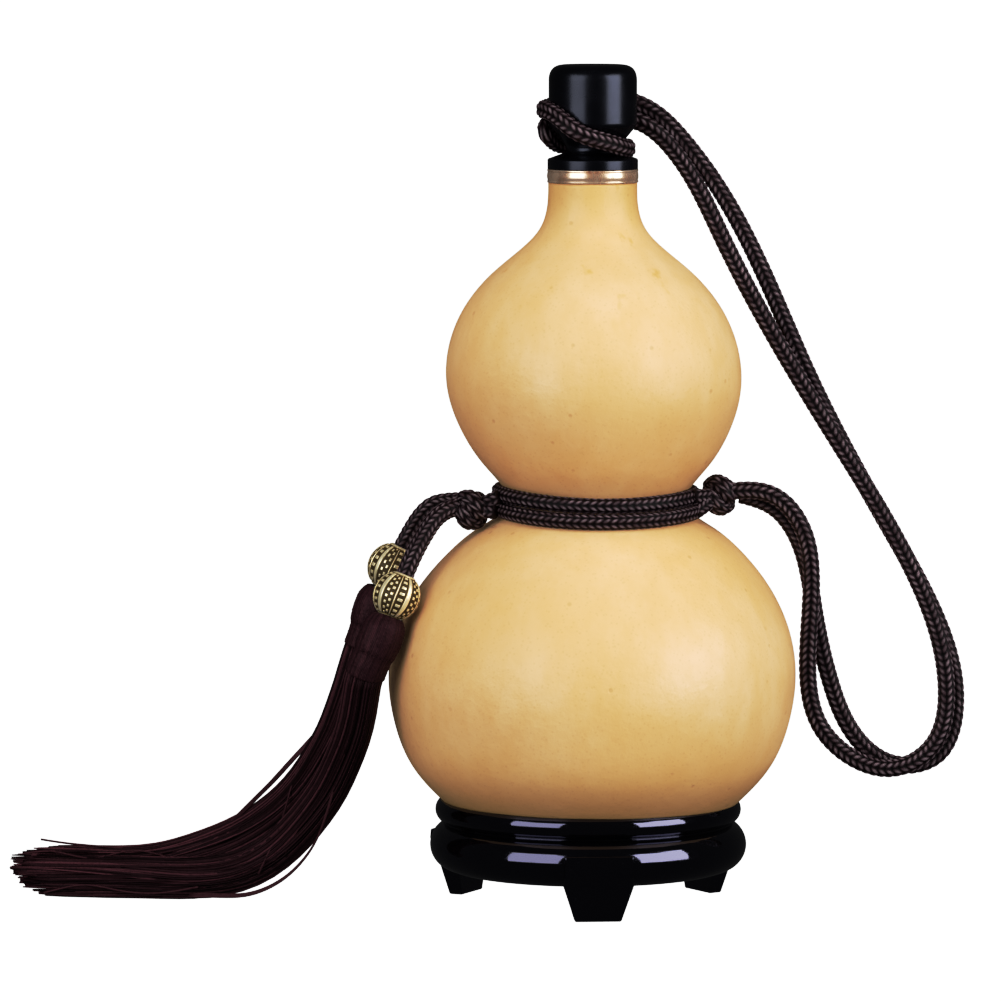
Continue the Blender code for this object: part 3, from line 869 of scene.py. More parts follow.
@dataclass
class Gourd:
    """The gourd: an outline spun round an axis that leans, with the uneven growth of a real fruit."""

    outline: tuple[Pair, ...] = (
        (0.0, 11.2), (14.0, 12.2), (26.0, 17.2), (34.2, 23.9), (40.2, 30.9), (44.4, 41.7),
        (45.5, 51.0), (44.0, 60.6), (39.6, 70.0), (33.1, 78.1), (26.7, 83.6), (21.4, 87.3),
        (19.7, 90.0), (21.0, 93.2), (25.4, 98.5), (30.1, 106.3), (32.8, 115.8), (32.3, 124.0),
        (28.7, 133.1), (22.1, 141.1), (15.6, 146.6), (11.5, 151.3), (10.1, 156.0), (9.9, 161.1),
    )
    rings: int = 300
    sides: int = 300
    socket_radius: float = 6.6
    socket_floor: float = 148.0
    waist_height: float = 90.0
    waist_lean: float = 1.1
    lean_spread: float = 25.0
    neck_lean: float = 0.2
    ovalness: float = 0.008
    oval_turn: float = 0.9
    lobed_share: float = 0.6
    lobed_twist: float = 34.0
    round_base: Pair = (26.0, 42.0)
    round_neck: Pair = (152.0, 136.0)
    socket_lip: float = 0.2
    socket_fillet: float = 0.4

    @property
    def mouth(self) -> float:
        """The height of the mouth."""
        return self.outline[-1][1]

    def skin(self) -> Numbers:
        """The outer outline as radius and height, from the middle of the base to the mouth."""
        return even_spline(self.outline, self.rings)

    def lean(self, height: Numbers | float) -> Numbers:
        """How far the middle stands to the right: a bell curve round the waist and a slow drift."""
        bell = np.exp(-(((height - self.waist_height) / self.lean_spread) ** 2))
        return self.waist_lean * bell + self.neck_lean * height / self.mouth

    def growth(self, height: Numbers | float, angle: Numbers | float) -> Numbers:
        """The share of its radius that the skin has: an oval and a three-lobed wave between the ends.

        Args:
            height: Heights.
            angle: Turns round the axis in radians.

        Returns:
            Shares close to one.
        """
        height = np.asarray(height)
        fade = smooth_step(height, *self.round_base) * smooth_step(height, *self.round_neck)
        oval = np.cos(2 * angle + self.oval_turn) - math.cos(self.oval_turn)
        lobed = np.sin(3 * angle + height / self.lobed_twist) * np.sin(angle) ** 2
        return 1 + self.ovalness * fade * (oval + self.lobed_share * lobed)

    def surface(self) -> Surface:
        """The spun outline with its socket, moved by the growth and the lean."""
        socket = rounded([
            (self.outline[-1][0], self.mouth, 0.0),
            (self.socket_radius, self.mouth, self.socket_lip),
            (self.socket_radius, self.socket_floor, self.socket_fillet),
            (0.0, self.socket_floor, 0.0),
        ])
        shape = lathe(np.concatenate([self.skin()[:-1], socket]), self.sides)
        x, y, z = shape.points.T
        share = self.growth(z, np.arctan2(y, x))
        shape.points = np.stack([x * share + self.lean(z), y * share, z], axis=1)
        return shape

    def resting_radius(
        self, height: Numbers, angle: Numbers, half_width: float, half_thickness: float
    ) -> Numbers:
        """How far from the axis a cord's middle lies when it presses on the skin.

        For each place over the cord's width, this is the skin's radius there plus the cord's half
        thickness at that place, an ellipse's ordinate. The largest one holds the cord off.

        Args:
            height: The cord's height at each turn.
            angle: The turns in radians.
            half_width: Half the cord's upright width.
            half_thickness: Half its thickness.

        Returns:
            One radius a turn.
        """
        skin = self.skin()
        offset = np.linspace(-half_width, half_width, 11)[:, None]
        level = height + offset
        radius = np.interp(level, skin[:, 1], skin[:, 0]) * self.growth(level, angle)
        return (radius + half_thickness * np.sqrt(1 - (offset / half_width) ** 2)).max(axis=0)

    def build(self, finishes: Finishes) -> Piece:
        """Makes the gourd."""
        return finishes.dress(self.surface().mesh("dried_gourd"), Slot.SKIN, "gourd")


@dataclass
class Closure:
    """The brass ring on the mouth and the turned stopper above it."""

    x: float = 0.2
    sides: int = 224
    mouth: float = 161.1
    ring_radius: float = 10.15
    ring_height: float = 2.75
    hole: float = 6.6
    plug_radius: float = 6.2
    plug_end: float = 149.2
    flange_radius: float = 10.05
    flange_base: float = 164.1
    flange_top: float = 166.35
    groove_radius: float = 6.0
    groove_heights: Triple = (167.7, 168.4, 169.3)
    head_radius: float = 9.8
    head_base: float = 173.85
    shoulder: float = 3.5
    top: float = 187.3
    top_flat: float = 4.0

    def ring(self) -> Surface:
        """The ring's section: a band that swells a little at its middle, with a bead at each edge."""
        low, high = self.mouth + 0.05, self.mouth + 0.25 + self.ring_height
        middle = (low + high) / 2
        edge = self.ring_radius
        lower = [
            (self.hole, middle, 0.0), (self.hole, low, 0.15), (edge - 0.05, low, 0.12),
            (edge, low + 0.35, 0.1), (edge - 0.12, low + 0.5, 0.06),
        ]
        upper = [
            (edge - 0.12, high - 0.5, 0.06), (edge, high - 0.35, 0.1), (edge - 0.05, high, 0.12),
            (self.hole, high, 0.15), (self.hole, middle + 0.01, 0.0),
        ]
        corners = [*lower, (edge + 0.06, middle, 0.5), *upper]
        return lathe(rounded(corners), self.sides, self.x)

    def stopper(self) -> Surface:
        """The stopper's profile from the plug's end up to the head's flat top."""
        start, narrow, end = self.groove_heights
        corners = [
            (0.0, self.plug_end, 0.0), (self.plug_radius, self.plug_end, 0.9),
            (self.plug_radius, self.flange_base, 0.2), (self.flange_radius, self.flange_base, 0.15),
            (self.flange_radius, self.flange_top, 0.35), (self.groove_radius + 0.35, start, 0.5),
            (self.groove_radius, narrow, 0.4), (self.groove_radius, end, 0.5),
            (self.head_radius, self.head_base, 0.7), (self.head_radius, self.top, self.shoulder),
            (self.top_flat, self.top, 1.5), (0.0, self.top - 0.02, 0.0),
        ]
        return lathe(rounded(corners, 14), self.sides, self.x)

    def build(self, finishes: Finishes) -> None:
        """Makes the ring and the stopper."""
        finishes.dress(self.ring().mesh("mouth_band"), Slot.RING, "mouth_ring")
        finishes.dress(self.stopper().mesh("turned_stopper"), Slot.STOPPER, "stopper")


@dataclass
class Stand:
    """The lacquered stand: a turned body with two round mouldings, and three feet."""

    x: float = -0.67
    underside: float = 7.5
    underside_radius: float = 20.0
    sides: int = 224
    lower: Triple = (29.9, 13.0, 5.5)
    upper: Triple = (31.3, 20.9, 2.9)
    notch: Pair = (31.8, 18.0)
    notch_turn: float = 62.0
    dish_gap: float = 0.1
    dish_radii: Pair = (31.0, 0.4)
    dish_rows: int = 60
    foot_angles: tuple[float, ...] = (-86.7, 31.7, 153.0)
    foot_half_width: float = 7.6
    foot_base_half_width: float = 5.1
    foot_shoulder: float = 8.1
    foot_bevel: float = 0.35
    foot_face: tuple[Pair, ...] = (
        (29.2, 0.0), (32.4, 0.0), (33.9, 8.1), (35.6, 10.4), (36.1, 13.0), (35.9, 15.0),
    )

    def body(self, gourd: Gourd) -> Surface:
        """The turned body, whose dish lies just under the gourd's base.

        Args:
            gourd: The gourd that rests in the dish.

        Returns:
            The closed body.
        """
        rim = self.upper[1] + self.upper[2]
        dish = [(radius, rim, SHARP) for radius in np.linspace(*self.dish_radii, self.dish_rows)]
        corners = [
            (0.0, self.underside, 0.0), (self.underside_radius, self.underside, 0.3),
            *arc(self.lower, -88, self.notch_turn, 44), (*self.notch, 0.5),
            *arc(self.upper, -self.notch_turn, 90, 32), *dish, (0.0, rim, 0.0),
        ]
        shape = lathe(rounded(corners, 3), self.sides, self.x)
        skin = gourd.skin()
        base = skin[: np.argmax(skin[:, 0])]
        reach = np.hypot(shape.points[:, 0] - gourd.lean(base[0, 1]), shape.points[:, 1])
        ceiling = np.interp(reach, base[:, 0], base[:, 1]) - self.dish_gap
        upper = shape.points[:, 2] > self.upper[1]
        shape.points[upper, 2] = np.minimum(shape.points[upper, 2], ceiling[upper])
        return shape

    def foot(self, angle: float) -> Piece:
        """One foot: its radial section drawn out along the rim, narrower at the table.

        Args:
            angle: Where it stands round the body, in degrees.

        Returns:
            The foot, with its edges bevelled.
        """
        hollow = [(r, z) for r, z, _ in arc((*self.lower[:2], self.lower[2] + 0.02), 20.0, -90.0, 14)]
        section = np.array([*self.foot_face, *hollow, (self.foot_face[0][0], hollow[-1][1])])
        size = len(section)
        turn = math.radians(angle)
        out = np.array((math.cos(turn), math.sin(turn), 0.0))
        along = np.array((-math.sin(turn), math.cos(turn), 0.0))
        share = np.minimum(section[:, 1] / self.foot_shoulder, 1.0)
        half = self.foot_base_half_width + (self.foot_half_width - self.foot_base_half_width) * share
        centre, up = np.array([self.x, 0.0, 0.0]), np.array([0.0, 0.0, 1.0])
        middle = out * section[:, :1] + centre + up * section[:, 1:]
        points = np.concatenate([middle - along * half[:, None], middle + along * half[:, None]])
        faces = [tuple(range(size)), tuple(range(2 * size - 1, size - 1, -1))]
        faces += [(i, i + size, (i + 1) % size + size, (i + 1) % size) for i in range(size)]
        mesh = bpy.data.meshes.new("foot")
        mesh.from_pydata(points * MM, [], faces)
        mesh.shade_smooth()
        piece = linked("foot", mesh)
        ease = piece.modifiers.new("eased_edges", "BEVEL")
        ease.width = self.foot_bevel * MM
        ease.segments = 3
        ease.angle_limit = math.radians(25)
        ease.harden_normals = True
        return piece

    def build(self, gourd: Gourd, finishes: Finishes) -> None:
        """Makes the body and the feet."""
        finishes.dress(self.body(gourd).mesh("stand_turned_body"), Slot.LACQUER, "stand_body")
        for number, angle in enumerate(self.foot_angles, start=1):
            foot = self.foot(angle)
            foot.name = f"stand_leg_{number}"
            finishes.dress(foot, Slot.LACQUER, f"stand_foot_{number}")


# The braided cord


@dataclass(frozen=True)
class Braid:
    """A round braid pulled flat. Its stitches lean one way in a column and the other way in the next."""

    width: float = 4.0
    thickness: float = 3.0
    columns: int = 8
    column_points: int = 5
    pitch: float = 1.6
    pitch_rings: int = 6
    slant: float = 0.8
    relief: float = 0.34
    sunk_share: float = 0.85
    squareness: float = 2.3
    plumpness: Pair = (0.6, 0.5)
    seam: Pair = (0.04, 0.96)

    def surface(self, path: Numbers, facing: Numbers, closed: bool = False) -> Surface:
        """Carries the flattened section along a path and raises the stitches on it.

        The section is a superellipse. In a column the phase is the run over the pitch plus or less the
        slant times the place across the column. A stitch is the sine of half a turn of the phase times
        the sine of half a turn of the place across, each to a power below one, so that it is plump.

        Args:
            path: Places an equal length apart, pitch_rings of them a pitch.
            facing: The direction that the flat side turns to, at each place.
            closed: Whether the path joins up.

        Returns:
            A closed surface that carries the height of its stitches as "stitch".
        """
        out, across = carried_frame(path, facing, closed)
        size = self.columns * self.column_points
        place = np.arange(size) / self.column_points
        inside = place % 1.0
        sign = np.where(place.astype(int) % 2 == 0, 1.0, -1.0)
        phase = np.arange(len(path))[:, None] / self.pitch_rings + sign * self.slant * (inside - 0.5)
        leg = np.abs(np.sin(math.pi * phase)) ** self.plumpness[0]
        column = np.sin(math.pi * np.clip(inside, *self.seam)) ** self.plumpness[1]
        stitch = leg * column
        turn = (place - 1.0) / self.columns * 2 * math.pi
        power = 2.0 / self.squareness
        flat, wide = (np.sign(part) * np.abs(part) ** power for part in (np.cos(turn), np.sin(turn)))
        lift = self.relief * (stitch - self.sunk_share)
        rings = (
            path[:, None]
            + (flat * self.thickness / 2 + np.cos(turn) * lift)[..., None] * out[:, None]
            + (wide * self.width / 2 + np.sin(turn) * lift)[..., None] * across[:, None]
        )
        faces = ring_faces(len(path), size, closed)
        surface = Surface(rings.reshape(-1, 3), faces, values={"stitch": stitch.ravel()})
        return (surface if closed else surface.capped(len(path), size)).outward()

    def along(self, points: Points) -> Numbers:
        """Places along the spline through the points, with pitch_rings of them to each pitch."""
        length = run_along(natural_spline(points, CURVE_DENSITY * len(points)))[-1]
        return even_spline(points, round(length / self.pitch * self.pitch_rings) + 1)


@dataclass
class CarryingLoop:
    """The long double loop on the right: one cord from the right knot, round the stopper and back."""

    braid: Braid = Braid()
    stopper_x: float = 0.2
    stopper_reach: Pair = (17.0, 13.5)
    stopper_from: float = 150.0
    rising: tuple[Triple, ...] = (
        (31.0, -2.8, 92.4), (34.5, -3.2, 92.7), (40.0, -3.6, 91.8), (46.6, -3.4, 84.9),
        (49.0, -2.9, 72.0), (48.3, -2.3, 54.5), (51.0, -2.0, 40.0), (57.8, -2.0, 32.9),
        (67.5, -1.9, 30.2), (76.2, -1.0, 35.0), (79.4, 0.0, 49.0), (71.5, 1.7, 75.0),
        (53.0, 3.6, 106.4), (29.1, 7.6, 148.8), (17.5, 8.9, 168.9),
    )
    hitch: tuple[Triple, ...] = (
        (38.0, 14.0, 174.0), (85.0, 11.9, 174.7), (130.0, 11.4, 174.2), (160.0, 11.1, 173.5),
        (177.0, 10.6, 172.1), (166.0, 9.5, 170.5), (140.0, 8.6, 169.2), (90.0, 8.2, 168.85),
        (30.0, 8.2, 168.85), (-30.0, 8.3, 168.85), (-70.0, 9.5, 170.3), (-109.0, 11.2, 172.8),
        (-134.0, 11.2, 176.0), (-160.0, 11.1, 177.4), (-185.0, 11.1, 177.3), (-215.0, 11.2, 177.8),
        (-250.0, 11.6, 178.9), (-300.0, 12.4, 179.3),
    )
    falling: tuple[Triple, ...] = (
        (14.0, 10.0, 176.4), (20.6, 9.7, 170.1), (31.0, 9.7, 155.3), (48.5, 8.1, 118.0),
        (66.5, 6.7, 84.0), (78.6, 5.7, 60.5), (81.8, 4.7, 44.0), (77.4, 3.6, 32.3),
        (68.2, 2.8, 30.5), (59.6, 2.5, 36.4), (53.6, 2.2, 49.2), (49.7, 1.7, 66.5),
        (46.8, 1.3, 79.8), (40.4, 0.9, 88.7), (33.3, 0.5, 91.4),
    )

    def route(self) -> Numbers:
        """The whole route. The hitch is given as turn, radius and height round the stopper."""
        turn, radius, height = np.array(self.hitch).T
        turn = np.radians(turn)
        hitch = np.stack([self.stopper_x + radius * np.cos(turn), radius * np.sin(turn), height], axis=1)
        return np.concatenate([self.rising, hitch, self.falling])

    def build(self, finishes: Finishes, knot: Piece) -> float:
        """Args:
            finishes: The finishes.
            knot: The knot that it leaves and comes back to. It is not used.

        Returns:
            The cord's length in metres.
        """
        path = self.braid.along(self.route())
        axis = np.array([self.stopper_x, 0.0, 0.0])
        radial = unit((path - axis) * (1.0, 1.0, 0.0))
        near = smooth_step(np.hypot(*(path - axis)[:, :2].T), *self.stopper_reach)
        near = (near * (path[:, 2] > self.stopper_from))[:, None]
        radial *= np.where(radial[:, 1:2] > 0, -1.0, 1.0)
        facing = np.array([0.0, -1.0, 0.0]) * (1 - near) + radial * near
        surface = self.braid.surface(path, facing)
        piece = finishes.dress(surface.mesh("carrying_loop"), Slot.CORD, "cord_loop")
        length = float(run_along(path)[-1]) * MM
        return length


@dataclass
class WaistTurns:
    """Two turns of the cord in the gourd's waist, a little higher at the sides than at the front."""

    braid: Braid = Braid(width=3.5, thickness=2.9)
    turns: tuple[tuple[str, float, float, float, float], ...] = (
        ("lower", 87.45, 1.0, -0.15, -0.25), ("upper", 90.75, 1.15, -0.3, 0.1),
    )
    press: float = 0.12
    samples: int = 2000

    def build(self, gourd: Gourd, finishes: Finishes) -> None:
        """Makes both turns, each pressed a little into the skin."""
        for name, *heights, tilt in self.turns:
            angle = np.linspace(0.0, 2 * math.pi, self.samples + 1)[:-1]
            path = self.ring(gourd, heights, angle)
            length = run_along(np.concatenate([path, path[:1]]))
            count = round(length[-1] / self.braid.pitch) * self.braid.pitch_rings
            angle = np.interp(np.arange(count) * length[-1] / count, length[:-1], angle)
            path = self.ring(gourd, heights, angle)
            outward = np.stack([np.cos(angle), np.sin(angle), np.full(count, tilt)], axis=1)
            surface = self.braid.surface(path, outward, closed=True)
            finishes.dress(surface.mesh(f"waist_braid_{name}"), Slot.CORD, f"waist_turn_{name}")

    def ring(self, gourd: Gourd, heights: Sequence[float], angle: Numbers) -> Numbers:
        """The middle line of one turn: the height rises with the cosine and its square."""
        front, both_sides, right_side = heights
        height = front + both_sides * np.cos(angle) ** 2 + right_side * np.cos(angle)
        half_width, half_thickness = self.braid.width / 2, self.braid.thickness / 2
        radius = gourd.resting_radius(height, angle, half_width, half_thickness) - self.press
        x = gourd.lean(height) + radius * np.cos(angle)
        return np.stack([x, radius * np.sin(angle), height], axis=1)


@dataclass
class TiedKnot:
    """A tight overhand knot: the cord wound twice round while it goes three times through."""

    braid: Braid = Braid(width=3.5, thickness=2.9, columns=10, pitch=1.3)
    places: tuple[tuple[Knot, Triple, float], ...] = (
        (Knot.LEFT, (-26.8, -5.6, 88.7), 14.0),
        (Knot.RIGHT, (28.4, -1.6, 91.5), -4.0),
    )
    tie_braid: Braid = Braid(width=3.4, thickness=2.8)
    tie_starts: dict[Knot, tuple[Triple, ...]] = field(default_factory=lambda: {
        Knot.LEFT: ((-21.4, -8.9, 88.4), (-20.6, -8.6, 91.7)),
        Knot.RIGHT: ((23.0, -8.0, 88.3), (22.6, -7.6, 91.6)),
    })
    ring_radius: float = 1.75
    wind_radius: float = 1.25
    squeeze: Triple = (1.36, 0.98, 1.06)
    samples: int = 1200

    def surface(self, middle: Triple, roll: float) -> Surface:
        """The knot's line lies on a small ring: two turns round the cord, three round the ring's body.

        Args:
            middle: Where the knot is.
            roll: How far it is turned round the cord, in degrees.

        Returns:
            The braided knot.
        """
        t = np.linspace(0.0, 2 * math.pi, self.samples + 1)
        line, _ = self.line(t, roll)
        run = run_along(line)
        count = round(run[-1] / self.braid.pitch) * self.braid.pitch_rings
        t = np.interp(np.arange(count) * run[-1] / count, run, t)
        line, outward = self.line(t, roll)
        surface = self.braid.surface(line, outward, closed=True)
        surface.points = surface.points * self.squeeze + middle
        return surface

    def line(self, t: Numbers, roll: float) -> tuple[Numbers, Numbers]:
        """The knot's line and the direction away from the ring's body, at the parameter t."""
        round_cord = 2 * t + math.radians(roll)
        radius = self.ring_radius + self.wind_radius * np.cos(3 * t)
        spoke = np.stack([np.zeros_like(t), np.cos(round_cord), np.sin(round_cord)], axis=1)
        sideways = np.stack([self.wind_radius * np.sin(3 * t), 0 * t, 0 * t], axis=1)
        line = spoke * radius[:, None] + sideways
        outward = spoke * np.cos(3 * t)[:, None] + np.stack([np.sin(3 * t), 0 * t, 0 * t], axis=1)
        return line, outward

    def tie(self, middle: Triple, start: Triple) -> Surface:
        """A short strand that leads from the turns round the waist into the knot."""
        halfway = tuple((a + b) / 2 for a, b in zip(start, middle))
        path = self.tie_braid.along([start, halfway, middle])
        return self.tie_braid.surface(path, np.tile([0.0, -1.0, 0.0], (len(path), 1)))

    def build(self, finishes: Finishes) -> dict[Knot, Piece]:
        """Makes both knots and returns them by name."""
        made = {}
        for which, middle, roll in self.places:
            ties = [self.tie(middle, start) for start in self.tie_starts[which]]
            joined = Surface.joined([self.surface(middle, roll), *ties])
            made[which] = finishes.dress(joined.mesh("tied_" + which.value), Slot.CORD, which.value)
        return made


# The left side: strands, beads and tassels


@dataclass
class HangingStrand:
    """One of the two strands that drop from the left knot through a bead into a tassel."""

    side: Side
    points: tuple[Triple, ...]
    braid: Braid = Braid(columns=10, pitch=1.45)
    facing: Triple = (0.15, -1.0, 0.1)

    def build(self, finishes: Finishes, pieces: list[Piece]) -> float:
        """Args:
            finishes: The finishes.
            pieces: The bead and the cap that it passes into. It is not used.

        Returns:
            The cord's length in metres.
        """
        path = self.braid.along(self.points)
        facing = np.tile(self.facing, (len(path), 1))
        piece = self.braid.surface(path, facing).mesh(f"strand_{self.side.value}")
        finishes.dress(piece, Slot.CORD, f"cord_drop_{self.side.value}")
        length = float(run_along(path)[-1]) * MM
        return length


@dataclass
class ReliefBead:
    """A cast brass bead: meridian ribs with bands of small raised blocks between them."""

    side: Side
    middle: Triple
    axis: Triple
    roll: float
    sectors: int = 5
    blocks: int = 11
    radius: float = 5.2
    half_length: float = 5.4
    bore: float = 2.0
    relief: float = 0.26
    broad_rib: Triple = (0.02, 0.19, 0.02)
    single_row: Triple = (0.26, 0.45, 0.02)
    thin_rib: Triple = (0.525, 0.575, 0.014)
    pair_rows: tuple[Triple, Triple] = ((0.65, 0.76, 0.015), (0.815, 0.93, 0.015))
    row_heights: Pair = (0.85, 0.8)
    collar_height: float = 0.9
    rings: int = 170
    sides: int = 340
    bore_rings: int = 8

    def height(self, turn: Numbers, level: Numbers) -> Numbers:
        """How far the relief stands, from 0 to 1.

        A sector holds a broad smooth rib, a band with one row of blocks, a thin rib and a band with two
        rows of smaller ones. Each edge is a smooth step. The blocks come as a square wave along the
        axis.

        Args:
            turn: Turns round the axis, in whole turns.
            level: Places along the axis, from -1 to 1.

        Returns:
            The relief at each place.
        """

        def band(place: Numbers, start: float, end: float, soft: float) -> Numbers:
            rising = smooth_step(place, start - soft, start + soft)
            return rising * smooth_step(place, end + soft, end - soft)

        def wave(offset: float) -> Numbers:
            count = (np.arcsin(level) / math.pi + 0.5) * self.blocks + offset
            square = smooth_step(np.cos(2 * math.pi * count), -0.25, 0.35)
            return band(count, 0.0, self.blocks + 1.0, 0.3) * square

        place = (turn * self.sectors) % 1.0
        broad = band(place, *self.broad_rib)
        single = band(place, *self.single_row) * wave(0.0)
        thin = band(place, *self.thin_rib)
        first, second = self.pair_rows
        pair = band(place, *first) * wave(0.5)
        pair = pair + band(place, *second) * wave(0.0)
        ends = smooth_step(np.abs(level), 0.93, 0.86)
        collar = smooth_step(np.abs(level), 0.9, 0.93)
        single_height, pair_height = self.row_heights
        raised = np.clip(broad + single * single_height + thin + pair * pair_height, 0, 1) * ends
        return np.maximum(raised, collar * self.collar_height)

    def surface(self) -> Surface:
        """An ellipsoid cut off at its bore, with the relief raised on it and a bore through it."""
        end = math.sqrt(1 - (self.bore / self.radius) ** 2)
        rise = np.linspace(-math.asin(end), math.asin(end), self.rings)
        turn = np.arange(self.sides) / self.sides
        level = np.sin(rise)[:, None] / end * 0.985
        height = self.height(turn[None, :], level)
        outward, upward = np.cos(rise)[:, None], np.sin(rise)[:, None]
        radius = self.radius * outward + self.relief * (height - 0.5) * outward
        along = self.half_length * upward + self.relief * (height - 0.5) * upward
        bore_rows = np.linspace(along[-1, 0] - 0.25, along[0, 0] + 0.25, self.bore_rings)
        bore = (self.bore_rings, self.sides)
        radius = np.concatenate([radius, np.full(bore, self.bore)])
        along = np.concatenate([along, np.repeat(bore_rows[:, None], self.sides, axis=1)])
        value = np.concatenate([height, np.zeros(bore)])
        angle = turn * 2 * math.pi + math.radians(self.roll)
        axis = unit(np.array(self.axis))
        across = unit(np.cross((0.0, 1.0, 0.0), axis))
        other = np.cross(axis, across)
        spoke = np.cos(angle)[None, :, None] * across + np.sin(angle)[None, :, None] * other
        points = radius[..., None] * spoke + along[..., None] * axis + np.array(self.middle)
        faces = ring_faces(len(radius), self.sides, closed=True)
        return Surface(points.reshape(-1, 3), faces, values={"relief": value.ravel()}).outward()

    def build(self, finishes: Finishes) -> Piece:
        """Makes the bead."""
        piece = self.surface().mesh(f"brass_bead_{self.side.value}")
        return finishes.dress(piece, Slot.BEAD, f"bead_{self.side.value}")


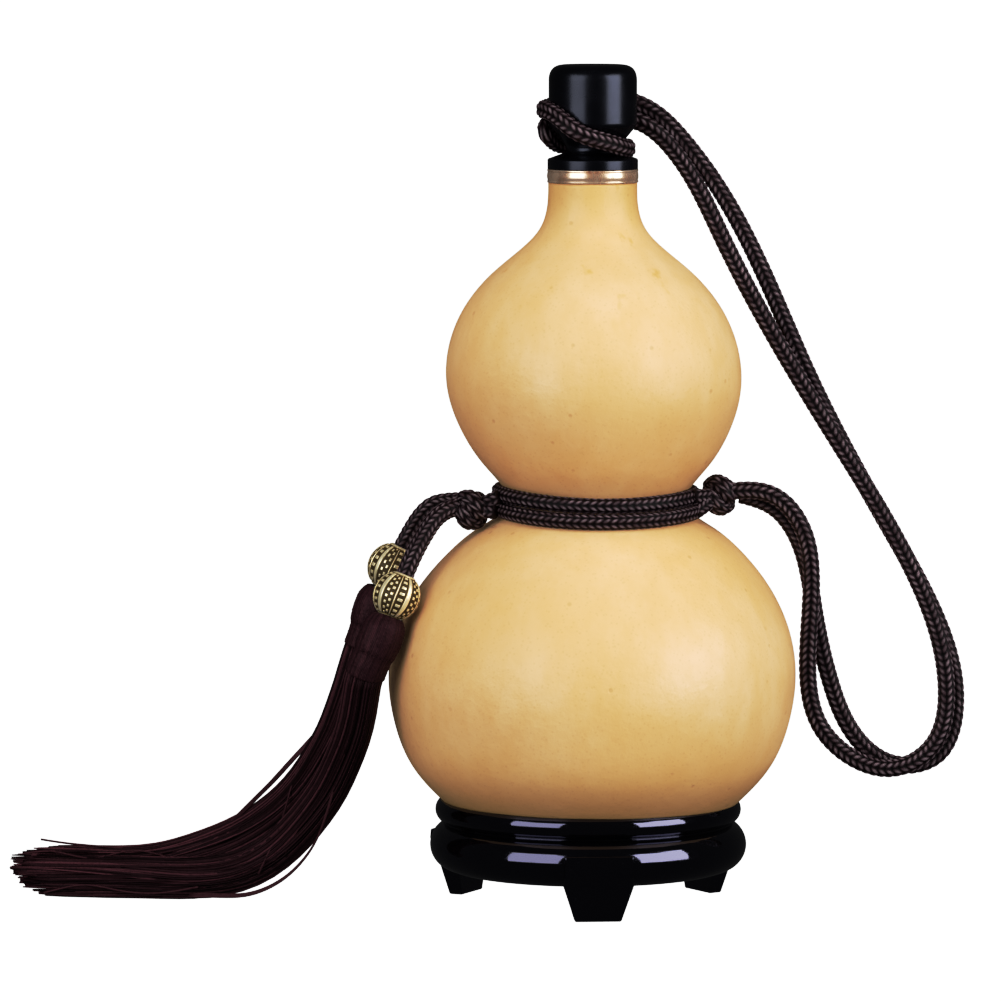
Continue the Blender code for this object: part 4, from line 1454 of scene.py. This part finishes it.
@dataclass
class Tassel:
    """A silk tassel: a wound cap and a fringe of threads that sweeps down and lies on the table."""

    side: Side
    points: tuple[Triple, ...]
    seed: int
    strays: tuple[tuple[Triple, ...], ...] = ()
    threads: int = 700
    thread_radius: float = 0.23
    thread_rings: int = 32
    locks: int = 22
    own_way: float = 0.3
    wild_share: float = 0.08
    raggedness: float = 7.0
    overrun: float = -3.2
    taper: float = 6.0
    lead: float = 2.0
    thread_sides: int = 4
    cap_radius: float = 5.0
    cap_fuzz: float = 0.035
    cap_ridges: int = 80
    cap_rings: int = 110
    cap_depth: float = 0.16
    sleeve_radius: float = 4.45
    cap_length: float = 13.0
    bore: float = 2.0
    cap_sides: int = 220
    fringe_radius: float = 4.3
    tuck: float = 0.4
    core_share: float = 0.72
    core_short: Pair = (7.0, 6.0)
    core_rings: int = 80
    core_sides: int = 48
    core_ridges: int = 24
    core_depth: float = 0.2
    # How far the core's tone is darkened, as painted shade inside the bundle.
    core_shade: float = 0.3
    core_lift: float = 0.4
    stray_tone: float = 0.45
    table_gap: float = 0.05
    layers: float = 0.9
    spine_points: int = 400

    def spine(self) -> tuple[Numbers, Numbers, Numbers, Numbers]:
        """The tassel's middle line: its run, places, and two directions square to it."""
        dense = even_spline(self.points, self.spine_points)
        dense = np.concatenate([[dense[0] - unit(dense[1] - dense[0]) * self.lead], dense])
        forward = unit(np.gradient(dense, axis=0))
        side = unit(np.cross(forward, (0.0, 1.0, 0.0)))
        return run_along(dense) - self.lead, dense, side, np.cross(forward, side)

    def at(self, run: Numbers) -> tuple[Numbers, Numbers, Numbers]:
        """The middle line's places and directions, read at any runs."""
        dense_run, *columns = self.spine()
        return tuple(
            np.stack([np.interp(run, dense_run, column[:, axis]) for axis in range(3)], axis=-1)
            for column in columns
        )

    def bundle(self, share: Numbers) -> Numbers:
        """The bundle's radius, from inside the sleeve at share 0 to its full size at share 1."""
        tucked = self.sleeve_radius - self.tuck
        return tucked + (self.fringe_radius + self.tuck - self.sleeve_radius) * share

    def swept(self, outline: Numbers, sides: int, ridges: int, depth: float) -> Surface:
        """An outline of run and radius spun round the middle line, with ridges along it.

        The radius is the outline's, less the depth times one minus the absolute sine of the turn times
        half the ridges.

        Args:
            outline: Run and radius, one point a row, starting and ending on the line.
            sides: Points on each ring.
            ridges: How many ridges run round it.
            depth: How deep the grooves are.

        Returns:
            A closed surface that carries "tone": painted shade, darker in its grooves.
        """
        angle = np.arange(sides) * 2 * math.pi / sides
        groove = 1 - np.abs(np.sin(ridges * angle / 2 + 0.3 * np.sin(5 * angle)))
        run, radius = outline[1:-1].T
        grid = radius[:, None] - depth * groove * smooth_step(radius, 1.0, 3.0)[:, None]
        middle, side, other = (part[:, None] for part in self.at(run))
        spoke = np.cos(angle)[None, :, None] * side + np.sin(angle)[None, :, None] * other
        points = middle + grid[..., None] * spoke
        # Painted shade: the tone is darker in the grooves between the ridges.
        tone = np.broadcast_to(0.55 - 0.45 * groove, grid.shape).ravel().copy()
        surface = Surface(points.reshape(-1, 3), ring_faces(len(run), sides), values={"tone": tone})
        ends = self.at(outline[[0, -1], 0])[0]
        return surface.with_poles(ends[0], ends[1], len(run), sides).outward()

    def cap(self) -> Surface:
        """The cap: a dome with the cord's socket in its top, a full sleeve and a narrower one below."""
        corners = [
            (5.4, 0.0, 0.0), (5.4, self.bore + 0.1, 0.2), (-0.8, self.bore + 0.1, 0.3), (-1.1, 3.4, 0.5),
            (0.8, self.cap_radius - 0.2, 1.6), (4.6, self.cap_radius, 1.2),
            (7.3, self.cap_radius - 0.2, 0.6),
            (8.2, self.sleeve_radius, 0.5), (self.cap_length, self.sleeve_radius + 0.1, 0.2),
            (self.cap_length, 0.0, 0.0),
        ]
        line = rounded(corners, 9)
        outline = np.concatenate([even_rows(line[:-1], self.cap_rings), line[-1:]])
        cap = self.swept(outline, self.cap_sides, self.cap_ridges, self.cap_depth)
        rng = np.random.default_rng(self.seed)
        cap.points += rng.normal(0.0, self.cap_fuzz, cap.points.shape)
        streaks = np.tile(rng.beta(0.8, 1.6, self.cap_sides), (len(cap.points) - 2) // self.cap_sides)
        cap.values["tone"][:-2] *= 0.35 + streaks
        return cap

    def fringe(self) -> Surface:
        """The fringe: a solid core under several hundred threads, each a thin tube with its own line.

        A thread starts under the cap at its own angle and depth in the bundle. Threads gather in locks:
        the threads of a lock share their slow sines and nearly their length, and each adds a little of
        its own. Threads that reach the table lie on it and on each other. Some stray ones leave the
        bundle.
        """
        rng = np.random.default_rng(self.seed)
        length = float(run_along(even_spline(self.points, self.spine_points))[-1])
        start = self.cap_length - 1.2
        count = self.threads
        share = rng.uniform(0, 1, count)
        depth = np.sqrt(rng.uniform(0.3, 1.0, count))
        lock = (share * self.locks).astype(int) + self.locks * (depth > 0.8)
        angle = 2 * math.pi * share
        upward = np.abs(np.cos(angle)) * depth
        cut = self.raggedness * rng.uniform(0, 1, 2 * self.locks)[lock] + rng.gamma(1.2, 0.9, count)
        end = (length + self.overrun - cut - self.taper * upward**2)[:, None]
        reach = np.linspace(0.0, 1.0, self.thread_rings)[None, :]
        run = start + (end - start) * reach
        bundle = self.bundle(smooth_step(reach, 0.0, 0.5))
        own = self.own_way + (1.0 - self.own_way) * (rng.uniform(0, 1, count) < self.wild_share)
        of_locks, of_threads = (4, 2 * self.locks), (4, count)
        waves = rng.normal(0, 1, of_locks)[:, lock] + own * rng.normal(0, 1, of_threads)
        phases = rng.uniform(0, 2 * math.pi, of_locks)[:, lock] + own * rng.normal(0, 1, of_threads)
        waves, phases = waves[..., None], phases[..., None]
        wander = smooth_step(reach, 0.05, 0.9)
        slow, quick = np.sin(2.4 * reach + phases[0]), np.sin(6 * reach + phases[1])
        turn = angle[:, None] + wander * (0.26 * waves[0] * slow + 0.16 * waves[1] * quick)
        spread = 0.08 * waves[2] * np.sin(4 * reach + phases[2])
        spread = spread + 0.03 * waves[3] * np.sin(9 * reach + phases[3])
        radius = bundle * np.clip(depth[:, None] + wander * spread, 0.1, 1.12)
        middle, side, other = self.at(run)
        spoke = np.cos(turn)[..., None] * side + np.sin(turn)[..., None] * other
        line = self.laid(middle + radius[..., None] * spoke, middle, rng)
        tone = np.repeat(np.clip(rng.beta(0.6, 1.6, count), 0, 1)[:, None], self.thread_rings, axis=1)
        tip = 1 - 0.4 * smooth_step(reach, 0.97, 1.0)
        thin = self.thread_radius * rng.uniform(0.8, 1.25, (count, 1)) * tip
        parts = [self.tubes(line, thin, tone), self.core(start, length)]
        if self.strays:
            loose = np.stack([natural_spline(points, self.thread_rings) for points in self.strays])
            shape = loose.shape[:2]
            radius, tone = np.full(shape, self.thread_radius), np.full(shape, self.stray_tone)
            parts.append(self.tubes(loose, radius, tone))
        return Surface.joined(parts)

    def laid(self, line: Numbers, middle: Numbers, rng: np.random.Generator) -> Numbers:
        """Rests threads on the table: what would lie under it moves up to it and as far out to the side.

        Args:
            line: Places on the threads.
            middle: The bundle's middle at the same places.
            rng: The source of each thread's own layer.

        Returns:
            The places, none of them under the table.
        """
        x, y, z = np.moveaxis(line, -1, 0)
        layer = rng.uniform(0.0, self.layers, (line.shape[0], 1))
        lowest = self.thread_radius + self.table_gap + layer
        under = np.clip(lowest - z, 0.0, None)
        outward = np.sign(y - middle[..., 1])
        return np.stack([x, y + outward * under * 0.9, np.maximum(z, lowest)], axis=-1)

    def tubes(self, line: Numbers, radius: Numbers, tone: Numbers) -> Surface:
        """Thin tubes round many lines at once, all with the same number of rings.

        Args:
            line: Threads by rings by three.
            radius: The tube's radius at each ring.
            tone: Each ring's tone.

        Returns:
            All the tubes in one surface, each closed at its ends.
        """
        count, rings, _ = line.shape
        sides = self.thread_sides
        forward = unit(np.gradient(line, axis=1))
        first = unit(np.cross(forward, (0.0, 1.0, 0.15)))
        second = np.cross(forward, first)
        turn = (np.arange(sides) * 2 * math.pi / sides)[None, None, :, None]
        spoke = np.cos(turn) * first[:, :, None] + np.sin(turn) * second[:, :, None]
        rim = line[:, :, None] + radius[..., None, None] * spoke
        starts = (np.arange(count) * rings * sides)[:, None, None]
        ends = np.array([np.arange(sides)[::-1], (rings - 1) * sides + np.arange(sides)])
        faces = [(part[None] + starts).reshape(-1, 4) for part in (ring_faces(rings, sides), ends)]
        tones = np.repeat(tone.ravel(), sides)
        return Surface(rim.reshape(-1, 3), np.concatenate(faces), values={"tone": tones}).outward()

    def core(self, start: float, length: float) -> Surface:
        """The middle of the bundle, darkened as painted shade, which closes the gaps between threads,
        off the table.
        """
        last, tip = self.core_short
        run = np.linspace(start, length - last, self.core_rings)
        share = smooth_step(run, start, (start + length) / 2)
        rows = np.stack([run, self.core_share * self.bundle(share)], 1)
        outline = np.concatenate([[(start, 0.0)], rows, [(length - tip, 0.0)]])
        surface = self.swept(outline, self.core_sides, self.core_ridges, self.core_depth)
        surface.points[:, 2] = np.maximum(surface.points[:, 2], self.core_lift)
        # Painted shade: the core is darkened as the shade inside the bundle.
        surface.values["tone"] *= self.core_shade
        return surface

    def build(self, finishes: Finishes) -> Piece:
        """Makes the cap and the fringe, and returns the cap."""
        name = self.side.value
        finishes.dress(self.fringe().mesh(f"silk_fringe_{name}"), Slot.SILK, f"tassel_{name}_fringe")
        return finishes.dress(self.cap().mesh(f"wound_cap_{name}"), Slot.SILK, f"tassel_{name}_cap")


STRANDS: tuple[HangingStrand, ...] = (
    HangingStrand(Side.FRONT, (
        (-29.6, -6.4, 89.4), (-31.9, -7.6, 88.75), (-34.4, -9.3, 87.2), (-36.8, -11.0, 84.1),
        (-39.0, -13.0, 80.3), (-41.0, -14.6, 76.0), (-43.3, -15.4, 70.3), (-45.4, -16.2, 65.2),
        (-46.6, -16.6, 61.8),
    )),
    HangingStrand(Side.BACK, (
        (-29.6, -3.6, 90.3), (-31.6, -3.6, 90.2), (-35.5, -3.9, 89.3), (-38.2, -4.1, 86.8),
        (-40.6, -4.4, 83.0), (-42.6, -4.6, 79.3), (-44.6, -4.8, 75.6), (-46.8, -5.0, 70.3),
        (-48.6, -5.0, 65.4),
    )),
)
BEADS: tuple[ReliefBead, ...] = (
    ReliefBead(Side.FRONT, (-43.3, -15.4, 70.3), (-4.4, -1.5, -11.2), roll=162.0),
    ReliefBead(Side.BACK, (-44.6, -4.8, 75.6), (-4.9, -0.4, -10.0), roll=60.0, sectors=6, blocks=9),
)
TASSELS: tuple[Tassel, ...] = (
    Tassel(Side.FRONT, (
        (-45.5, -16.2, 64.9), (-46.7, -16.7, 61.6), (-48.5, -16.9, 57.3), (-50.3, -16.2, 53.0),
        (-51.1, -15.2, 49.3), (-52.0, -13.5, 43.8), (-53.3, -11.5, 38.6), (-55.6, -9.0, 32.5),
        (-58.8, -6.7, 25.8), (-63.3, -4.6, 19.3), (-68.9, -2.4, 13.1), (-76.5, -0.7, 7.9),
        (-86.6, 1.1, 5.3), (-96.8, 2.8, 4.9), (-110.0, 4.6, 5.0), (-127.0, 6.4, 5.3),
        (-134.0, 7.1, 5.6),
    ), seed=11, strays=(
        *(
            tuple((x - 0.5 * shift, y, z - shift) for x, y, z in (
                (-56.4, -11.0, 30.0), (-58.9, -11.0, 21.6), (-61.4, -10.4, 15.0),
                (-64.4, -9.4, 10.4), (-68.4, -8.2, 6.4), (-73.0, -7.0, 3.6), (-77.6, -5.6, 2.1),
                (-83.0, -4.0, 1.7), (-90.0, -2.4, 1.6),
            ))
            for shift in (-0.3, 0.0, 0.3)
        ),
        (
            (-62.5, 0.5, 34.3), (-65.3, 1.2, 30.3), (-67.8, 0.2, 23.4), (-70.3, -4.6, 15.6),
            (-73.0, -6.3, 9.9), (-74.4, -5.8, 6.9),
        ),
        (
            (-88.0, -3.4, 3.6), (-97.0, -2.0, 2.0), (-106.0, -0.6, 2.4), (-114.0, 1.0, 3.4),
            (-120.0, 2.0, 2.2), (-123.0, 2.4, 1.4),
        ),
    )),
    Tassel(Side.BACK, (
        (-46.9, -5.0, 69.9), (-48.3, -5.0, 65.9), (-49.8, -5.0, 60.7), (-51.6, -4.6, 55.3),
        (-53.2, -3.8, 49.8), (-55.2, -2.2, 43.6), (-57.2, -0.4, 38.2), (-59.7, 1.4, 33.2),
        (-62.7, 3.4, 28.0), (-66.7, 5.4, 22.7), (-71.8, 7.6, 17.9), (-79.0, 9.8, 13.2),
        (-88.1, 11.7, 9.4), (-97.2, 13.1, 6.9), (-110.0, 14.1, 6.0), (-127.5, 14.8, 5.9),
        (-134.5, 15.0, 5.9),
    ), seed=29, strays=(
        *(
            tuple((x + shift, y - 0.4 * shift, z + 0.35 * shift) for x, y, z in (
                (-58.4, 3.4, 41.0), (-63.2, 3.2, 35.6), (-67.9, 3.8, 30.4), (-71.4, 5.2, 26.4),
                (-75.2, 7.0, 22.4), (-79.4, 9.0, 18.0), (-84.6, 11.0, 13.3), (-91.0, 12.2, 9.4),
            ))
            for shift in (-0.55, -0.25, 0.0, 0.3, 0.6)
        ),
        (
            (-98.0, 12.5, 9.0), (-106.0, 13.0, 10.0), (-113.0, 13.3, 10.6), (-119.0, 13.4, 11.2),
            (-124.2, 13.4, 12.0),
        ),
        (
            (-94.0, 9.0, 8.0), (-104.0, 6.0, 10.4), (-112.0, 4.0, 9.0), (-121.0, 3.6, 10.6),
            (-127.0, 3.4, 10.2),
        ),
    )),
)


def main() -> None:
    """Builds the studio and the object, piece by piece."""
    logging.basicConfig(level=logging.INFO, format="%(name)s: %(message)s")
    Studio().build()
    finishes = Finishes()
    knots = TiedKnot().build(finishes)
    lengths = {"carrying loop": CarryingLoop().build(finishes, knots[Knot.RIGHT])}
    for strand, bead, tassel in zip(STRANDS, BEADS, TASSELS):
        on_strand = [bead.build(finishes), tassel.build(finishes)]
        lengths[f"{strand.side.value} strand"] = strand.build(finishes, on_strand)
    gourd = Gourd()
    gourd.build(finishes)
    Closure().build(finishes)
    Stand().build(gourd, finishes)
    WaistTurns().build(gourd, finishes)
    for name, length in lengths.items():
        LOG.info("%s: %.4f m", name, length)


if __name__ == "__main__":
    main()
